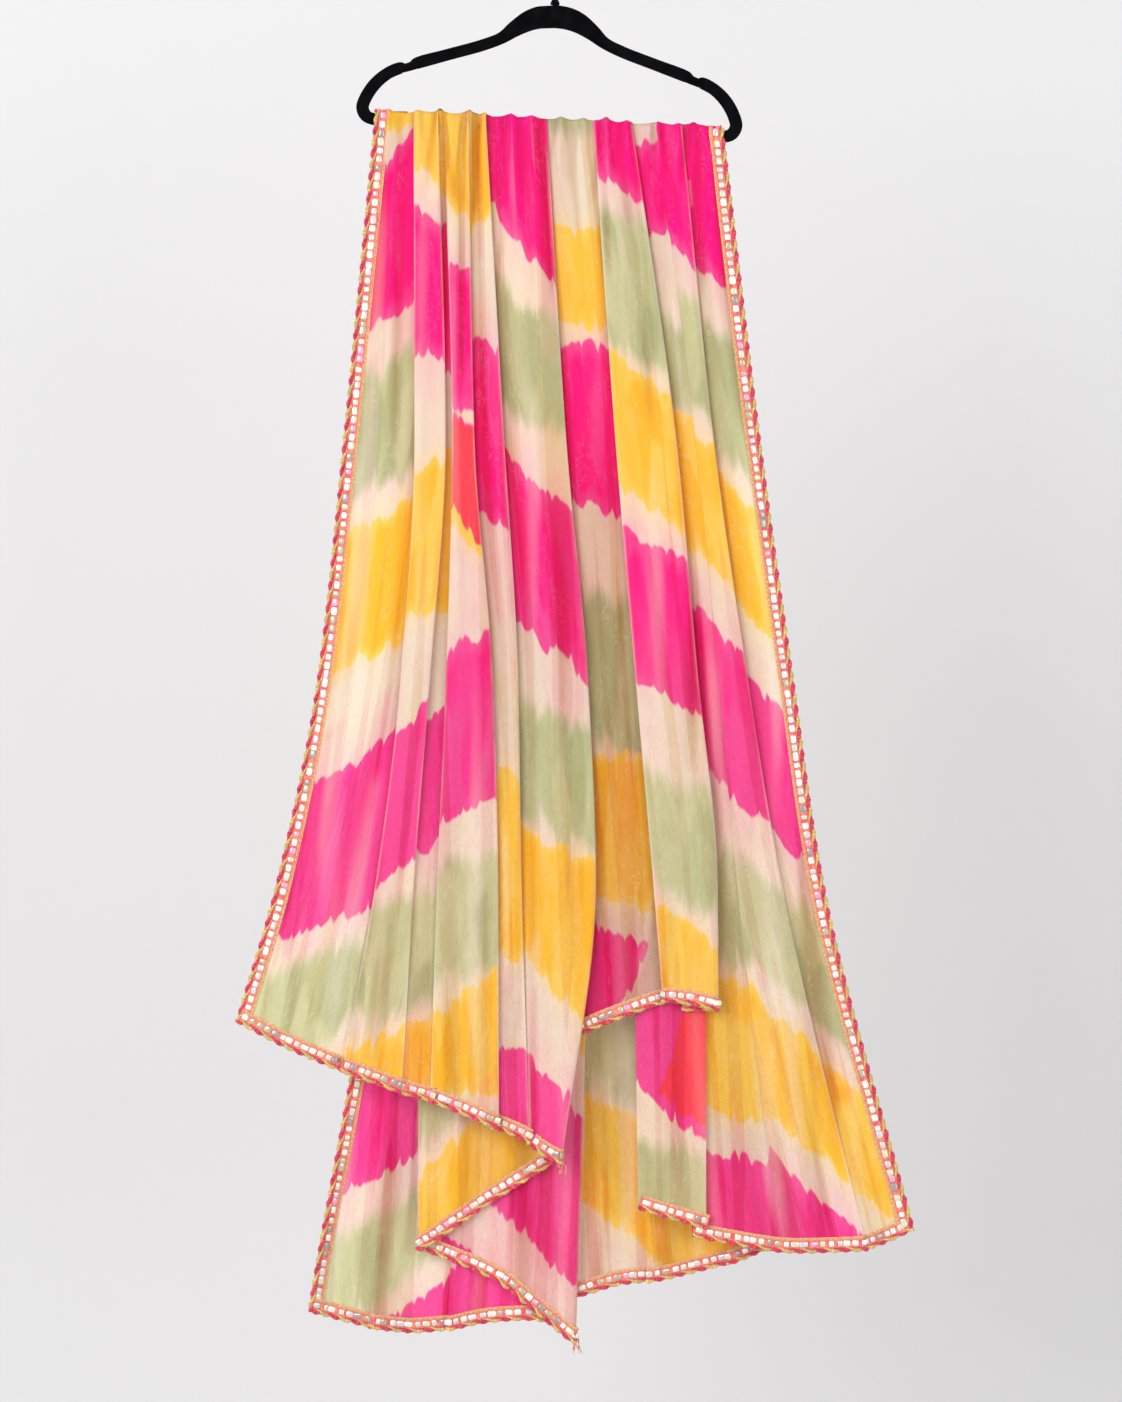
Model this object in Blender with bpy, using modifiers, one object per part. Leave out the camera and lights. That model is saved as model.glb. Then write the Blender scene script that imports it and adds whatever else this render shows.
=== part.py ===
"""A dupatta stole hung over the bar of a slim flocked hanger.

The dupatta is a long sheer sheet with a lace border on all four edges. It lies over the
hanger's bar in pleats and hangs in two falls, one in front of the bar and one behind it.
Metres, +Z up, -Y towards the viewer. The origin is the inside top of the hanger's hook.
Each stretch of cloth that shows is one thin wall. Its folds run from the bar to the hem, and
the tables give one row to each of them.
"""

import math

import bmesh
import bpy

MM = 0.001

# Hanger
TILT = math.radians(2.9)
HANGER_THICKNESS = 5.0 * MM
BAR_DROP = 201.3 * MM
BAR_HEIGHT = 13.8 * MM
HOOK_WIRE = 3.6 * MM
HOOK_RADIUS = 21.0 * MM
CROWN_DROP = 60.1 * MM
COLLAR_HEIGHT = 8.0 * MM
COLLAR_FOOT_RADIUS = 5.4 * MM
COLLAR_TOP_RADIUS = 3.0 * MM

# Cloth and lace
CLOTH_WALL = 1.0 * MM
LACE_WALL = 2.0 * MM
LACE_WIDTH = 21.0 * MM
SEAM_GAP = 0.3 * MM
HEM_SEAM_GAP = 0.8 * MM
BAR_CLEARANCE = 0.4 * MM
PITCH_AT_BAR = 2.2 * MM
PITCH_MIDWAY = 4.0 * MM

# Depths below the origin at which the tables give each fold's place across the cloth
STATION_DROPS = (559 * MM, 834 * MM, 1064 * MM)
DEPTH_DROP = 834 * MM

# Steps down each wall: over the bar as angles, then down the fall as shares of its length
BAR_ANGLES = (0, 5, 35, 65, 90)
FALL_SHARES = (0.025, 0.07, 0.14, 0.22, 0.31, 0.4, 0.49, 0.58, 0.67, 0.76, 0.84, 0.92)

# The hanger's centreline from its crown to one end: place across, drop and width, in mm
HANGER_HALF = (
    ("crown", 0.0, 73.3, 26.4),
    ("crown_side", 15.0, 74.6, 26.0),
    ("crown_slope", 28.0, 79.0, 24.0),
    ("neck", 44.0, 89.0, 19.0),
    ("shoulder", 59.0, 100.5, 14.0),
    ("arm_top", 80.0, 109.8, 13.5),
    ("arm", 120.0, 123.0, 13.5),
    ("arm_low", 155.0, 134.6, 13.5),
    ("notch_in", 160.0, 137.6, 10.6),
    ("notch_out", 168.0, 140.4, 10.2),
    ("arm_end", 173.0, 140.8, 13.5),
    ("bend_top", 187.0, 147.4, 14.0),
    ("bend", 201.0, 160.0, 14.5),
    ("side", 211.0, 176.0, 14.5),
    ("tip", 214.5, 188.5, 14.5),
    ("tip_low", 210.0, 197.5, 14.2),
    ("foot", 201.0, 201.0, 13.8),
    ("bar_end", 188.0, 201.3, 13.8),
)

# Columns of the fold tables, in mm: place across at the bar, at the three stations and at the
# hem; drop of the hem there; how far the cloth doubles back at the bar and at the hem; how far
# it stands out from the bar's face at the bar, midway and at the hem; and the spacing of its
# layers at the hem.
COLUMNS = (
    "name", "kind", "bar", "high", "middle", "low", "hem", "drop",
    "lap_bar", "lap_hem", "out_bar", "out_middle", "out_hem", "pitch_hem",
)

FRONT_LEFT = (
    ("border", "end", -209, -245, -275, -321, -368, 1225, 0, 0, 1.2, 8, 10, 3),
    ("wave_a", "ridge", -184, -195, -221, -261, -303, 1258, 0, 0, 1.2, 12, 19, 3),
    ("fold_b", "under", -165, -164, -180, -208, -248, 1282, 9, 3, 5.6, 15, 14, 3),
    ("fold_c", "over", -137, -128, -146, -164, -178, 1307, 8, 3, 5.6, 15, 14, 3),
    ("fold_d", "under", -131, -121, -128, -138, -146, 1317, 8, 3, 5.6, 14, 14, 3),
    ("wave_d", "ridge", -117, -110, -103, -104, -106, 1332, 0, 0, 5.4, 15, 17, 3),
    ("fold_e", "over", -102, -95, -74, -68, -67, 1347, 10, 9, 5.6, 15, 17, 4),
    ("crease_e", "ridge", -95, -84, -64, -56, -50, 1356, 0, 0, 3, 8, 11, 3),
    ("fold_f", "over", -82, -61, -45, -41, -32, 1365, 9, 3, 5.6, 11, 14, 3),
    ("wave_f", "ridge", -53, -37, -11, -6, -14, 1379, 0, 0, 4.5, 10, 22, 3),
    ("fold_g", "turn_end", -12, 10, 35, 44, 5, 1386, 14, 20, 5.6, 16, 28, 6),
)
FRONT_MIDDLE = (
    ("hidden_left", "end", -24, -11, 10, 17, 12, 1247, 0, 0, 1.2, 3, 6, 3),
    ("crease_h", "ridge", -9, 26, 47, 65, 72, 1221, 0, 0, 1.6, 7, 14, 3),
    ("fold_i", "under", 41, 66, 89, 109, 120, 1202, 9, 11, 5.6, 19, 25, 5),
    ("wave_i", "ridge", 62, 100, 127, 150, 154, 1205, 0, 0, 5.2, 21, 27, 5),
    ("fold_j", "turn_end", 86, 136, 161, 183, 184, 1212, 16, 42, 5.6, 19, 27, 5),
)
FRONT_INNER = (
    ("inner_left", "end", 56, 83, 92, 88, 92, 1439, 0, 0, 1.2, 4.5, 9, 3),
    ("wave_k", "ridge", 67, 100, 120, 123, 127, 1450, 0, 0, 1.2, 7, 13, 3),
    ("inner_right", "end", 81, 121, 150, 169, 170, 1462, 0, 0, 1.2, 7, 14, 3),
)
FRONT_RIGHT = (
    ("hidden_right", "end", 84, 120, 145, 156, 154, 1472, 0, 0, 1.2, 1.5, 3, 3),
    ("crease_l", "ridge", 114, 158, 185, 205, 257, 1488, 0, 0, 5, 10, 16, 3),
    ("fold_m", "over", 143, 179, 218, 256, 354, 1486, 7, 3, 5.6, 12, 16, 3),
    ("wave_m", "ridge", 166, 206, 246, 280, 379, 1477, 0, 0, 5, 8, 8, 3),
    ("border", "end", 190, 232, 270, 304, 408, 1463, 0, 0, 1.2, 6, 10, 3),
)
BACK_LEFT = (
    ("border", "end", -208, -198, -192, -207, -287, 1561, 0, 0, 1.2, 12, 22, 3),
    ("wave_n", "ridge", -183, -171, -166, -181, -252, 1572, 0, 0, 3.5, 17, 33, 3),
    ("fold_n", "over", -172, -158, -152, -163, -212, 1580, 8, 5, 5.6, 16, 26, 4),
    ("wave_o", "ridge", -152, -136, -128, -131, -168, 1587, 0, 0, 2.5, 19, 36, 3),
    ("fold_o", "over", -131, -112, -103, -100, -122, 1583, 7, 5, 7, 23, 33, 4),
    ("wave_p", "ridge", -112, -84, -64, -56, -75, 1574, 0, 0, 4.6, 17, 30, 3),
    ("crease_p", "ridge", -101, -52, -24, -7, -14, 1574, 0, 0, 5.6, 15, 26, 3),
    ("fold_p", "turn_right", -91, -26, 10, 35, 21, 1597, 0, 0, 5.6, 14, 24, 6),
    ("wave_q", "ridge", -94, -46, -28, -14, -27, 1561, 0, 0, 3.4, 9, 19, 6),
    ("crease_q", "ridge", -96, -72, -66, -63, -71, 1526, 0, 0, 3.4, 10, 18, 6),
    ("fold_q", "turn_left", -100, -118, -146, -159, -161, 1490, 0, 0, 3.4, 10, 17, 6),
    ("wave_r", "ridge", -60, -66, -66, -66, -78, 1436, 0, 0, 1.2, 5, 12, 6),
    ("fold_r", "end", -14, -14, 5, 23, -8, 1391, 0, 0, 1.2, 3, 8, 6),
)
BACK_RIGHT = (
    ("hidden_mid", "end", -24, -18, -2, 5, 5, 1552, 0, 0, 4.2, 20, 34, 3),
    ("wave_s", "ridge", 37, 49, 60, 69, 69, 1532, 0, 0, 3, 22, 30, 3),
    ("fold_s", "over", 60, 76, 91, 104, 108, 1527, 8, 5, 5.6, 18, 24, 4),
    ("wave_t", "ridge", 84, 99, 116, 134, 148, 1519, 0, 0, 2, 15, 26, 3),
    ("fold_t", "over", 112, 129, 151, 175, 200, 1506, 8, 5, 5.6, 15, 20, 4),
    ("wave_u", "ridge", 138, 154, 181, 210, 248, 1486, 0, 0, 2.5, 13, 22, 3),
    ("fold_u", "over", 160, 179, 210, 243, 286, 1464, 7, 4, 5.6, 13, 17, 3),
    ("border", "end", 188, 208, 241, 278, 333, 1426, 0, 0, 1.2, 8, 12, 3),
)

# Each stretch: its name, its folds, +1 in front of the bar or -1 behind it, and which of its
# two long sides carry the lace border
STRETCHES = (
    ("front_left", FRONT_LEFT, 1, ("start",)),
    ("front_middle", FRONT_MIDDLE, 1, ()),
    ("front_inner", FRONT_INNER, 1, ()),
    ("front_right", FRONT_RIGHT, 1, ("end",)),
    ("back_left", BACK_LEFT, -1, ("start",)),
    ("back_right", BACK_RIGHT, -1, ("end",)),
)

COLOURS = {
    "cloth_front_left": (0.93, 0.42, 0.50),
    "cloth_front_middle": (0.95, 0.72, 0.30),
    "cloth_front_inner": (0.92, 0.15, 0.45),
    "cloth_front_right": (0.93, 0.78, 0.50),
    "cloth_back_left": (0.80, 0.72, 0.50),
    "cloth_back_right": (0.85, 0.60, 0.25),
    "lace": (0.85, 0.50, 0.45),
    "flock": (0.01, 0.01, 0.011),
    "steel": (0.75, 0.75, 0.76),
}


def clear_scene():
    for obj in list(bpy.data.objects):
        bpy.data.objects.remove(obj, do_unlink=True)


def material(name, colour, roughness, metallic=0.0):
    made = bpy.data.materials.new(name)
    made.use_nodes = True
    shader = made.node_tree.nodes["Principled BSDF"]
    shader.inputs["Base Color"].default_value = (*colour, 1.0)
    shader.inputs["Roughness"].default_value = roughness
    shader.inputs["Metallic"].default_value = metallic
    return made


def smooth_value(places, values, at):
    """A monotone cubic through (place, value) pairs, so that a fold never swings past them."""
    steps = [b - a for a, b in zip(places, places[1:])]
    rises = [(b - a) / step for a, b, step in zip(values, values[1:], steps)]
    slopes = [rises[0]]
    for before, after in zip(rises, rises[1:]):
        slopes.append(0.0 if before * after <= 0 else 2 * before * after / (before + after))
    slopes.append(rises[-1])
    at = min(max(at, places[0]), places[-1])
    index = max(i for i in range(len(steps)) if at >= places[i])
    step = steps[index]
    u = (at - places[index]) / step
    start, end = values[index], values[index + 1]
    return (
        start * (1 + 2 * u) * (1 - u) ** 2
        + slopes[index] * step * u * (1 - u) ** 2
        + end * u * u * (3 - 2 * u)
        + slopes[index + 1] * step * u * u * (u - 1)
    )


def bar_centre(x):
    """Height of the tilted bar's rounded top edge's centre at x."""
    top = -BAR_DROP * math.cos(TILT) + BAR_HEIGHT / 2 - HANGER_THICKNESS / 2
    return top - x * math.tan(TILT)


def fold_at(fold, share):
    """Place, stand-off, lap and layer spacing of one fold, a share of the way down its fall."""
    row = dict(zip(COLUMNS, fold))
    top = bar_centre(row["bar"] * MM)
    drop = -top + share * (row["drop"] * MM + top)
    places = (-top, *STATION_DROPS, row["drop"] * MM)
    across = [row[name] * MM for name in ("bar", "high", "middle", "low", "hem")]
    depths = (-top, DEPTH_DROP, row["drop"] * MM)
    outs = [row[name] * MM for name in ("out_bar", "out_middle", "out_hem")]
    pitches = (PITCH_AT_BAR, PITCH_MIDWAY, row["pitch_hem"] * MM)
    lap = (row["lap_bar"] + (row["lap_hem"] - row["lap_bar"]) * share) * MM
    return {
        "kind": row["kind"],
        "x": smooth_value(places, across, drop),
        "out": smooth_value(depths, outs, drop),
        "lap": lap,
        "pitch": smooth_value(depths, pitches, drop),
        "z": -drop,
    }


def turn(x, out, pitch, side, inward):
    """Three points round a fold's edge at x. side is +1 where the edge is the right one, and
    inward is -1 where the cloth turns towards the bar, +1 where it turns away."""
    flat = x - side * pitch / 2
    return [(flat, out), (x, out + inward * pitch / 2), (flat, out + inward * pitch)]


def fold_points(fold, share):
    """The points (x, out, z) that one fold adds to the section, in order across the cloth."""
    at = fold_at(fold, share)
    x, out, pitch, lap = at["x"], at["out"], at["pitch"], at["lap"]
    if at["kind"] in ("end", "ridge"):
        points = [(x, out)]
    elif at["kind"] == "over":
        points = turn(x, out, pitch, 1, -1) + turn(x - lap, out - pitch, pitch, -1, -1)
    elif at["kind"] == "under":
        back = out - 2 * pitch
        points = turn(x + lap, back, pitch, 1, 1) + turn(x, out - pitch, pitch, -1, 1)
    elif at["kind"] == "turn_right":
        points = turn(x, out, pitch, 1, -1)
    elif at["kind"] == "turn_left":
        points = turn(x, out, pitch, -1, -1)
    else:
        points = turn(x, out, pitch, 1, -1) + [(x - lap, out - pitch * (1 + share))]
    return [(px, po, at["z"]) for px, po in points]


def between(first, second, distance):
    """The point on the line from first to second at a distance from first."""
    run = math.hypot(second[0] - first[0], second[1] - first[1])
    part = distance / run
    return tuple(a + (b - a) * part for a, b in zip(first, second))


def section(folds, share, laced):
    """One section across a stretch, with the border's inner edge marked on its laced side."""
    points = [point for fold in folds for point in fold_points(fold, share)]
    if "start" in laced:
        edge = [between(points[0], points[1], LACE_WIDTH + gap) for gap in (0, SEAM_GAP)]
        points[1:1] = edge
    if "end" in laced:
        edge = [between(points[-1], points[-2], LACE_WIDTH + gap) for gap in (SEAM_GAP, 0)]
        points[-1:-1] = edge
    return points


def place(point, angle, side):
    """A section point in space: round the bar's top edge up to 90 degrees, then below it."""
    x, out, z = point
    radius = HANGER_THICKNESS / 2 + BAR_CLEARANCE + out
    if angle < 90:
        turned = math.radians(angle)
        z = bar_centre(x) + radius * math.cos(turned)
        radius = radius * math.sin(turned)
    return (x, -side * (radius + SEAM_GAP / 2), z)


def hem_shares(folds, laced):
    """For each column, the share of its fall where the lace begins, square to the hem."""
    hem = section(folds, 1.0, laced)
    shares = []
    for index, point in enumerate(hem):
        before = hem[max(index - 3, 0)]
        after = hem[min(index + 3, len(hem) - 1)]
        run = math.hypot(after[0] - before[0], after[2] - before[2])
        lean = abs(after[0] - before[0]) / run if run > 0 else 1.0
        height = LACE_WIDTH / max(lean, 0.8)
        shares.append(1 - height / (bar_centre(point[0]) - point[2]))
    return shares


def stretch_grid(folds, side, laced):
    """Rows of points down a stretch: the cloth's rows and, below its seam, the hem lace's."""
    rows = [
        [place(point, angle, side) for point in section(folds, 0.0, laced)]
        for angle in BAR_ANGLES
    ]
    for share in FALL_SHARES:
        rows.append([place(point, 90, side) for point in section(folds, share, laced)])
    starts = hem_shares(folds, laced)
    seam = HEM_SEAM_GAP / (rows[0][0][2] - section(folds, 1.0, laced)[0][2])
    for gap in (seam, 0.0):
        row = []
        for column, start in enumerate(starts):
            row.append(place(section(folds, start - gap, laced)[column], 90, side))
        rows.append(row)
    rows.append([place(point, 90, side) for point in section(folds, 1.0, laced)])
    return rows


def wall(name, rows, thickness, look, collection, flip):
    """A closed wall through the rows of points, half its thickness to each side of them."""
    mesh = bpy.data.meshes.new(name)
    bm = bmesh.new()
    verts = [[bm.verts.new(point) for point in row] for row in rows]
    for upper, lower in zip(verts, verts[1:]):
        for index in range(len(upper) - 1):
            corners = [upper[index], upper[index + 1], lower[index + 1], lower[index]]
            bm.faces.new(corners[::-1] if flip else corners)
    bm.to_mesh(mesh)
    bm.free()
    mesh.shade_smooth()
    mesh.materials.append(look)
    obj = bpy.data.objects.new(name, mesh)
    collection.objects.link(obj)
    solid = obj.modifiers.new("Wall", "SOLIDIFY")
    solid.thickness = thickness
    solid.offset = 0.0
    return obj


def make_stretch(name, folds, side, laced, looks, collection):
    """One stretch of cloth with the lace along its hem and down its laced sides."""
    rows = stretch_grid(folds, side, laced)
    first = 2 if "start" in laced else 0
    last = len(rows[0]) - (2 if "end" in laced else 0)
    flip = side > 0
    cloth = [row[first:last] for row in rows[:-2]]
    wall("cloth_" + name, cloth, CLOTH_WALL, looks["cloth_" + name], collection, flip)
    hem = [row[first:last] for row in rows[-2:]]
    wall("lace_hem_" + name, hem, LACE_WALL, looks["lace"], collection, flip)
    edge_rows = rows[:-3] + rows[-2:]
    if "start" in laced:
        edge = [row[:2] for row in edge_rows]
        wall("lace_edge_" + name, edge, LACE_WALL, looks["lace"], collection, flip)
    if "end" in laced:
        edge = [row[-2:] for row in edge_rows]
        wall("lace_edge_" + name, edge, LACE_WALL, looks["lace"], collection, flip)


def hanger_centreline():
    """The closed loop of the hanger: crown, both arms, both ends and the straight bar."""
    half = [(x * MM, -drop * MM, width * MM) for _, x, drop, width in HANGER_HALF]
    left = [(-x, z, width) for x, z, width in reversed(half[1:])]
    bar = [(half[-1][0] * step, half[-1][1], half[-1][2]) for step in (0.6, 0.2, -0.2, -0.6)]
    return half + bar + left


def make_hanger(looks, collection):
    """The flocked body: a flat loop with rounded edges, lofted along its centreline."""
    loop = hanger_centreline()
    edge = HANGER_THICKNESS / 2
    count = len(loop)
    bm = bmesh.new()
    rings = []
    for index, (x, z, width) in enumerate(loop):
        before = loop[index - 1]
        after = loop[(index + 1) % count]
        run = math.hypot(after[0] - before[0], after[1] - before[1])
        out_x = -(after[1] - before[1]) / run
        out_z = (after[0] - before[0]) / run
        straight = width / 2 - edge
        profile = [(straight, edge), (straight + edge * 0.75, edge * 0.7)]
        profile += [(straight + edge, 0.0), (straight + edge * 0.75, -edge * 0.7)]
        profile += [(straight, -edge)]
        profile += [(-across, -depth) for across, depth in profile]
        ring = [
            bm.verts.new((x + out_x * across, depth, z + out_z * across))
            for across, depth in profile
        ]
        rings.append(ring)
    sides = len(rings[0])
    for index in range(count):
        here, there = rings[index], rings[(index + 1) % count]
        for side in range(sides):
            other = (side + 1) % sides
            bm.faces.new((here[side], here[other], there[other], there[side]))
    bmesh.ops.recalc_face_normals(bm, faces=bm.faces)
    mesh = bpy.data.meshes.new("hanger_body")
    bm.to_mesh(mesh)
    bm.free()
    mesh.shade_smooth()
    mesh.materials.append(looks["flock"])
    obj = bpy.data.objects.new("hanger_body", mesh)
    obj.rotation_euler = (0.0, TILT, 0.0)
    collection.objects.link(obj)


def hook_route():
    """From the collar up the neck and round three quarters of a circle to the open end."""
    centre = -HOOK_RADIUS + HOOK_WIRE / 2
    collar_top = -CROWN_DROP + SEAM_GAP + COLLAR_HEIGHT
    route = [(0.0, collar_top + SEAM_GAP), (0.0, collar_top + 3 * MM)]
    for degrees in range(-60, 181, 15):
        turned = math.radians(degrees)
        x = HOOK_RADIUS * math.cos(turned)
        route.append((x, centre + HOOK_RADIUS * math.sin(turned)))
    route.append((-HOOK_RADIUS - 1.5 * MM, centre - 9 * MM))
    return route


def make_hook(looks, collection):
    """The wire hook, whose middle line is HOOK_RADIUS round, leaning with the hanger."""
    curve = bpy.data.curves.new("hook", "CURVE")
    curve.dimensions = "3D"
    curve.bevel_depth = HOOK_WIRE / 2
    curve.bevel_resolution = 2
    curve.use_fill_caps = True
    route = hook_route()
    spline = curve.splines.new("POLY")
    spline.points.add(len(route) - 1)
    for point, (x, z) in zip(spline.points, route):
        point.co = (x, 0.0, z, 1.0)
    curve.materials.append(looks["steel"])
    hook = bpy.data.objects.new("hook", curve)
    hook.rotation_euler = (0.0, TILT, 0.0)
    collection.objects.link(hook)


def make_collar(looks, collection):
    """The flocked cone between the crown and the wire."""
    bm = bmesh.new()
    bmesh.ops.create_cone(
        bm, cap_ends=True, segments=20, radius1=COLLAR_FOOT_RADIUS,
        radius2=COLLAR_TOP_RADIUS, depth=COLLAR_HEIGHT,
    )
    lift = -CROWN_DROP + SEAM_GAP + COLLAR_HEIGHT / 2
    bmesh.ops.translate(bm, verts=bm.verts, vec=(0.0, 0.0, lift))
    bmesh.ops.scale(bm, verts=bm.verts, vec=(1.0, 0.45, 1.0))
    mesh = bpy.data.meshes.new("hook_collar")
    bm.to_mesh(mesh)
    bm.free()
    mesh.shade_smooth()
    mesh.materials.append(looks["flock"])
    collar = bpy.data.objects.new("hook_collar", mesh)
    collar.rotation_euler = (0.0, TILT, 0.0)
    collection.objects.link(collar)


def main():
    clear_scene()
    parts = bpy.data.collections.new("dupatta stole on hanger")
    bpy.context.scene.collection.children.link(parts)
    looks = {name: material(name, colour, 0.7) for name, colour in COLOURS.items()}
    looks["steel"] = material("hook_steel", COLOURS["steel"], 0.25, 1.0)
    make_hanger(looks, parts)
    make_collar(looks, parts)
    make_hook(looks, parts)
    for name, folds, side, laced in STRETCHES:
        make_stretch(name, folds, side, laced, looks, parts)


main()
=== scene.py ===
"""Looks of the dupatta stole: the fine cloth, its dye, its mirrored lace and the hanger."""
import math
import random

import bpy
import numpy as np
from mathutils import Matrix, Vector


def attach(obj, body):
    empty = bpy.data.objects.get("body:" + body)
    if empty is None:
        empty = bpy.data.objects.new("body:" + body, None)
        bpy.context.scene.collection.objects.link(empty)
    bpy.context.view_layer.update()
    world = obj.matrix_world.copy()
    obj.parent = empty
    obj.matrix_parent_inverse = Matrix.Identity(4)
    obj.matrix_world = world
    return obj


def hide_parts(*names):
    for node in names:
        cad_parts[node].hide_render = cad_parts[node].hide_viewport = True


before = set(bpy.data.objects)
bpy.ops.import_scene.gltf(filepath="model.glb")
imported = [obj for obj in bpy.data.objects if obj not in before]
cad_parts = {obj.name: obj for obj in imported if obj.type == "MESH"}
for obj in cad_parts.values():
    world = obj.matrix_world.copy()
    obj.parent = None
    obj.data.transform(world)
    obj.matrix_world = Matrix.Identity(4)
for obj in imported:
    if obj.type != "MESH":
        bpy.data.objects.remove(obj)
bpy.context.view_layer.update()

MM = 0.001

# Sizes shared with the solids
TILT = math.radians(2.9)
HANGER_THICKNESS = 5.0 * MM
BAR_DROP = 201.3 * MM
BAR_HEIGHT = 13.8 * MM
HOOK_WIRE = 3.6 * MM
HOOK_RADIUS = 21.0 * MM
CROWN_DROP = 60.1 * MM
COLLAR_HEIGHT = 8.0 * MM
BAR_CLEARANCE = 0.4 * MM
PITCH_AT_BAR = 2.2 * MM
PITCH_MIDWAY = 4.0 * MM
STATION_DROPS = (559 * MM, 834 * MM, 1064 * MM)
DEPTH_DROP = 834 * MM

# Fineness of the cloth
ROW_STEP = 5.0 * MM
COLUMN_STEP = 3.6 * MM
CREST_ROWS = 14

# The hanger's centreline from its crown to one end: place across, drop and width, in mm
HANGER_HALF = (
    (0.0, 73.3, 26.4), (15.0, 74.6, 26.0), (28.0, 79.0, 24.0), (44.0, 89.0, 19.0),
    (59.0, 100.5, 14.0), (80.0, 109.8, 13.5), (120.0, 123.0, 13.5), (155.0, 134.6, 13.5),
    (160.0, 137.6, 10.6), (168.0, 140.4, 10.2), (173.0, 140.8, 13.5), (187.0, 147.4, 14.0),
    (201.0, 160.0, 14.5), (211.0, 176.0, 14.5), (214.5, 188.5, 14.5), (210.0, 197.5, 14.2),
    (201.0, 201.0, 13.8), (188.0, 201.3, 13.8),
)

# Columns of the fold tables, in mm: place across at the bar, at the three stations and at the
# hem; drop of the hem there; how far the cloth doubles back at the bar and at the hem; how far
# it stands out from the bar's face at the bar, midway and at the hem; and the spacing of its
# layers at the hem.
COLUMNS = (
    "name", "kind", "bar", "high", "middle", "low", "hem", "drop",
    "lap_bar", "lap_hem", "out_bar", "out_middle", "out_hem", "pitch_hem",
)

FRONT_LEFT = (
    ("border", "end", -209, -245, -275, -321, -368, 1225, 0, 0, 1.2, 8, 10, 3),
    ("wave_a", "ridge", -184, -195, -221, -261, -303, 1258, 0, 0, 1.2, 12, 19, 3),
    ("fold_b", "under", -165, -164, -180, -208, -248, 1282, 9, 3, 5.6, 15, 14, 3),
    ("fold_c", "over", -137, -128, -146, -164, -178, 1307, 8, 3, 5.6, 15, 14, 3),
    ("fold_d", "under", -131, -121, -128, -138, -146, 1317, 8, 3, 5.6, 14, 14, 3),
    ("wave_d", "ridge", -117, -110, -103, -104, -106, 1332, 0, 0, 5.4, 15, 17, 3),
    ("fold_e", "over", -102, -95, -74, -68, -67, 1347, 10, 9, 5.6, 15, 17, 4),
    ("crease_e", "ridge", -95, -84, -64, -56, -50, 1356, 0, 0, 3, 8, 11, 3),
    ("fold_f", "over", -82, -61, -45, -41, -32, 1365, 9, 3, 5.6, 11, 14, 3),
    ("wave_f", "ridge", -53, -37, -11, -6, -14, 1379, 0, 0, 4.5, 10, 22, 3),
    ("fold_g", "turn_end", -12, 10, 35, 44, 5, 1386, 14, 20, 5.6, 16, 28, 6),
)
FRONT_MIDDLE = (
    ("hidden_left", "end", -24, -11, 10, 17, 12, 1247, 0, 0, 1.2, 3, 6, 3),
    ("crease_h", "ridge", -9, 26, 47, 65, 72, 1221, 0, 0, 1.6, 7, 14, 3),
    ("fold_i", "under", 41, 66, 89, 109, 120, 1202, 9, 11, 5.6, 19, 25, 5),
    ("wave_i", "ridge", 62, 100, 127, 150, 154, 1205, 0, 0, 5.2, 21, 27, 5),
    ("fold_j", "turn_end", 86, 136, 161, 183, 184, 1212, 16, 42, 5.6, 19, 27, 5),
)
FRONT_INNER = (
    ("inner_left", "end", 56, 83, 92, 88, 92, 1439, 0, 0, 1.2, 4.5, 9, 3),
    ("wave_k", "ridge", 67, 100, 120, 123, 127, 1450, 0, 0, 1.2, 7, 13, 3),
    ("inner_right", "end", 81, 121, 150, 169, 170, 1462, 0, 0, 1.2, 7, 14, 3),
)
FRONT_RIGHT = (
    ("hidden_right", "end", 84, 120, 145, 156, 154, 1472, 0, 0, 1.2, 1.5, 3, 3),
    ("crease_l", "ridge", 114, 158, 185, 205, 257, 1488, 0, 0, 5, 10, 16, 3),
    ("fold_m", "over", 143, 179, 218, 256, 354, 1486, 7, 3, 5.6, 12, 16, 3),
    ("wave_m", "ridge", 166, 206, 246, 280, 379, 1477, 0, 0, 5, 8, 8, 3),
    ("border", "end", 190, 232, 270, 304, 408, 1463, 0, 0, 1.2, 6, 10, 3),
)
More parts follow.
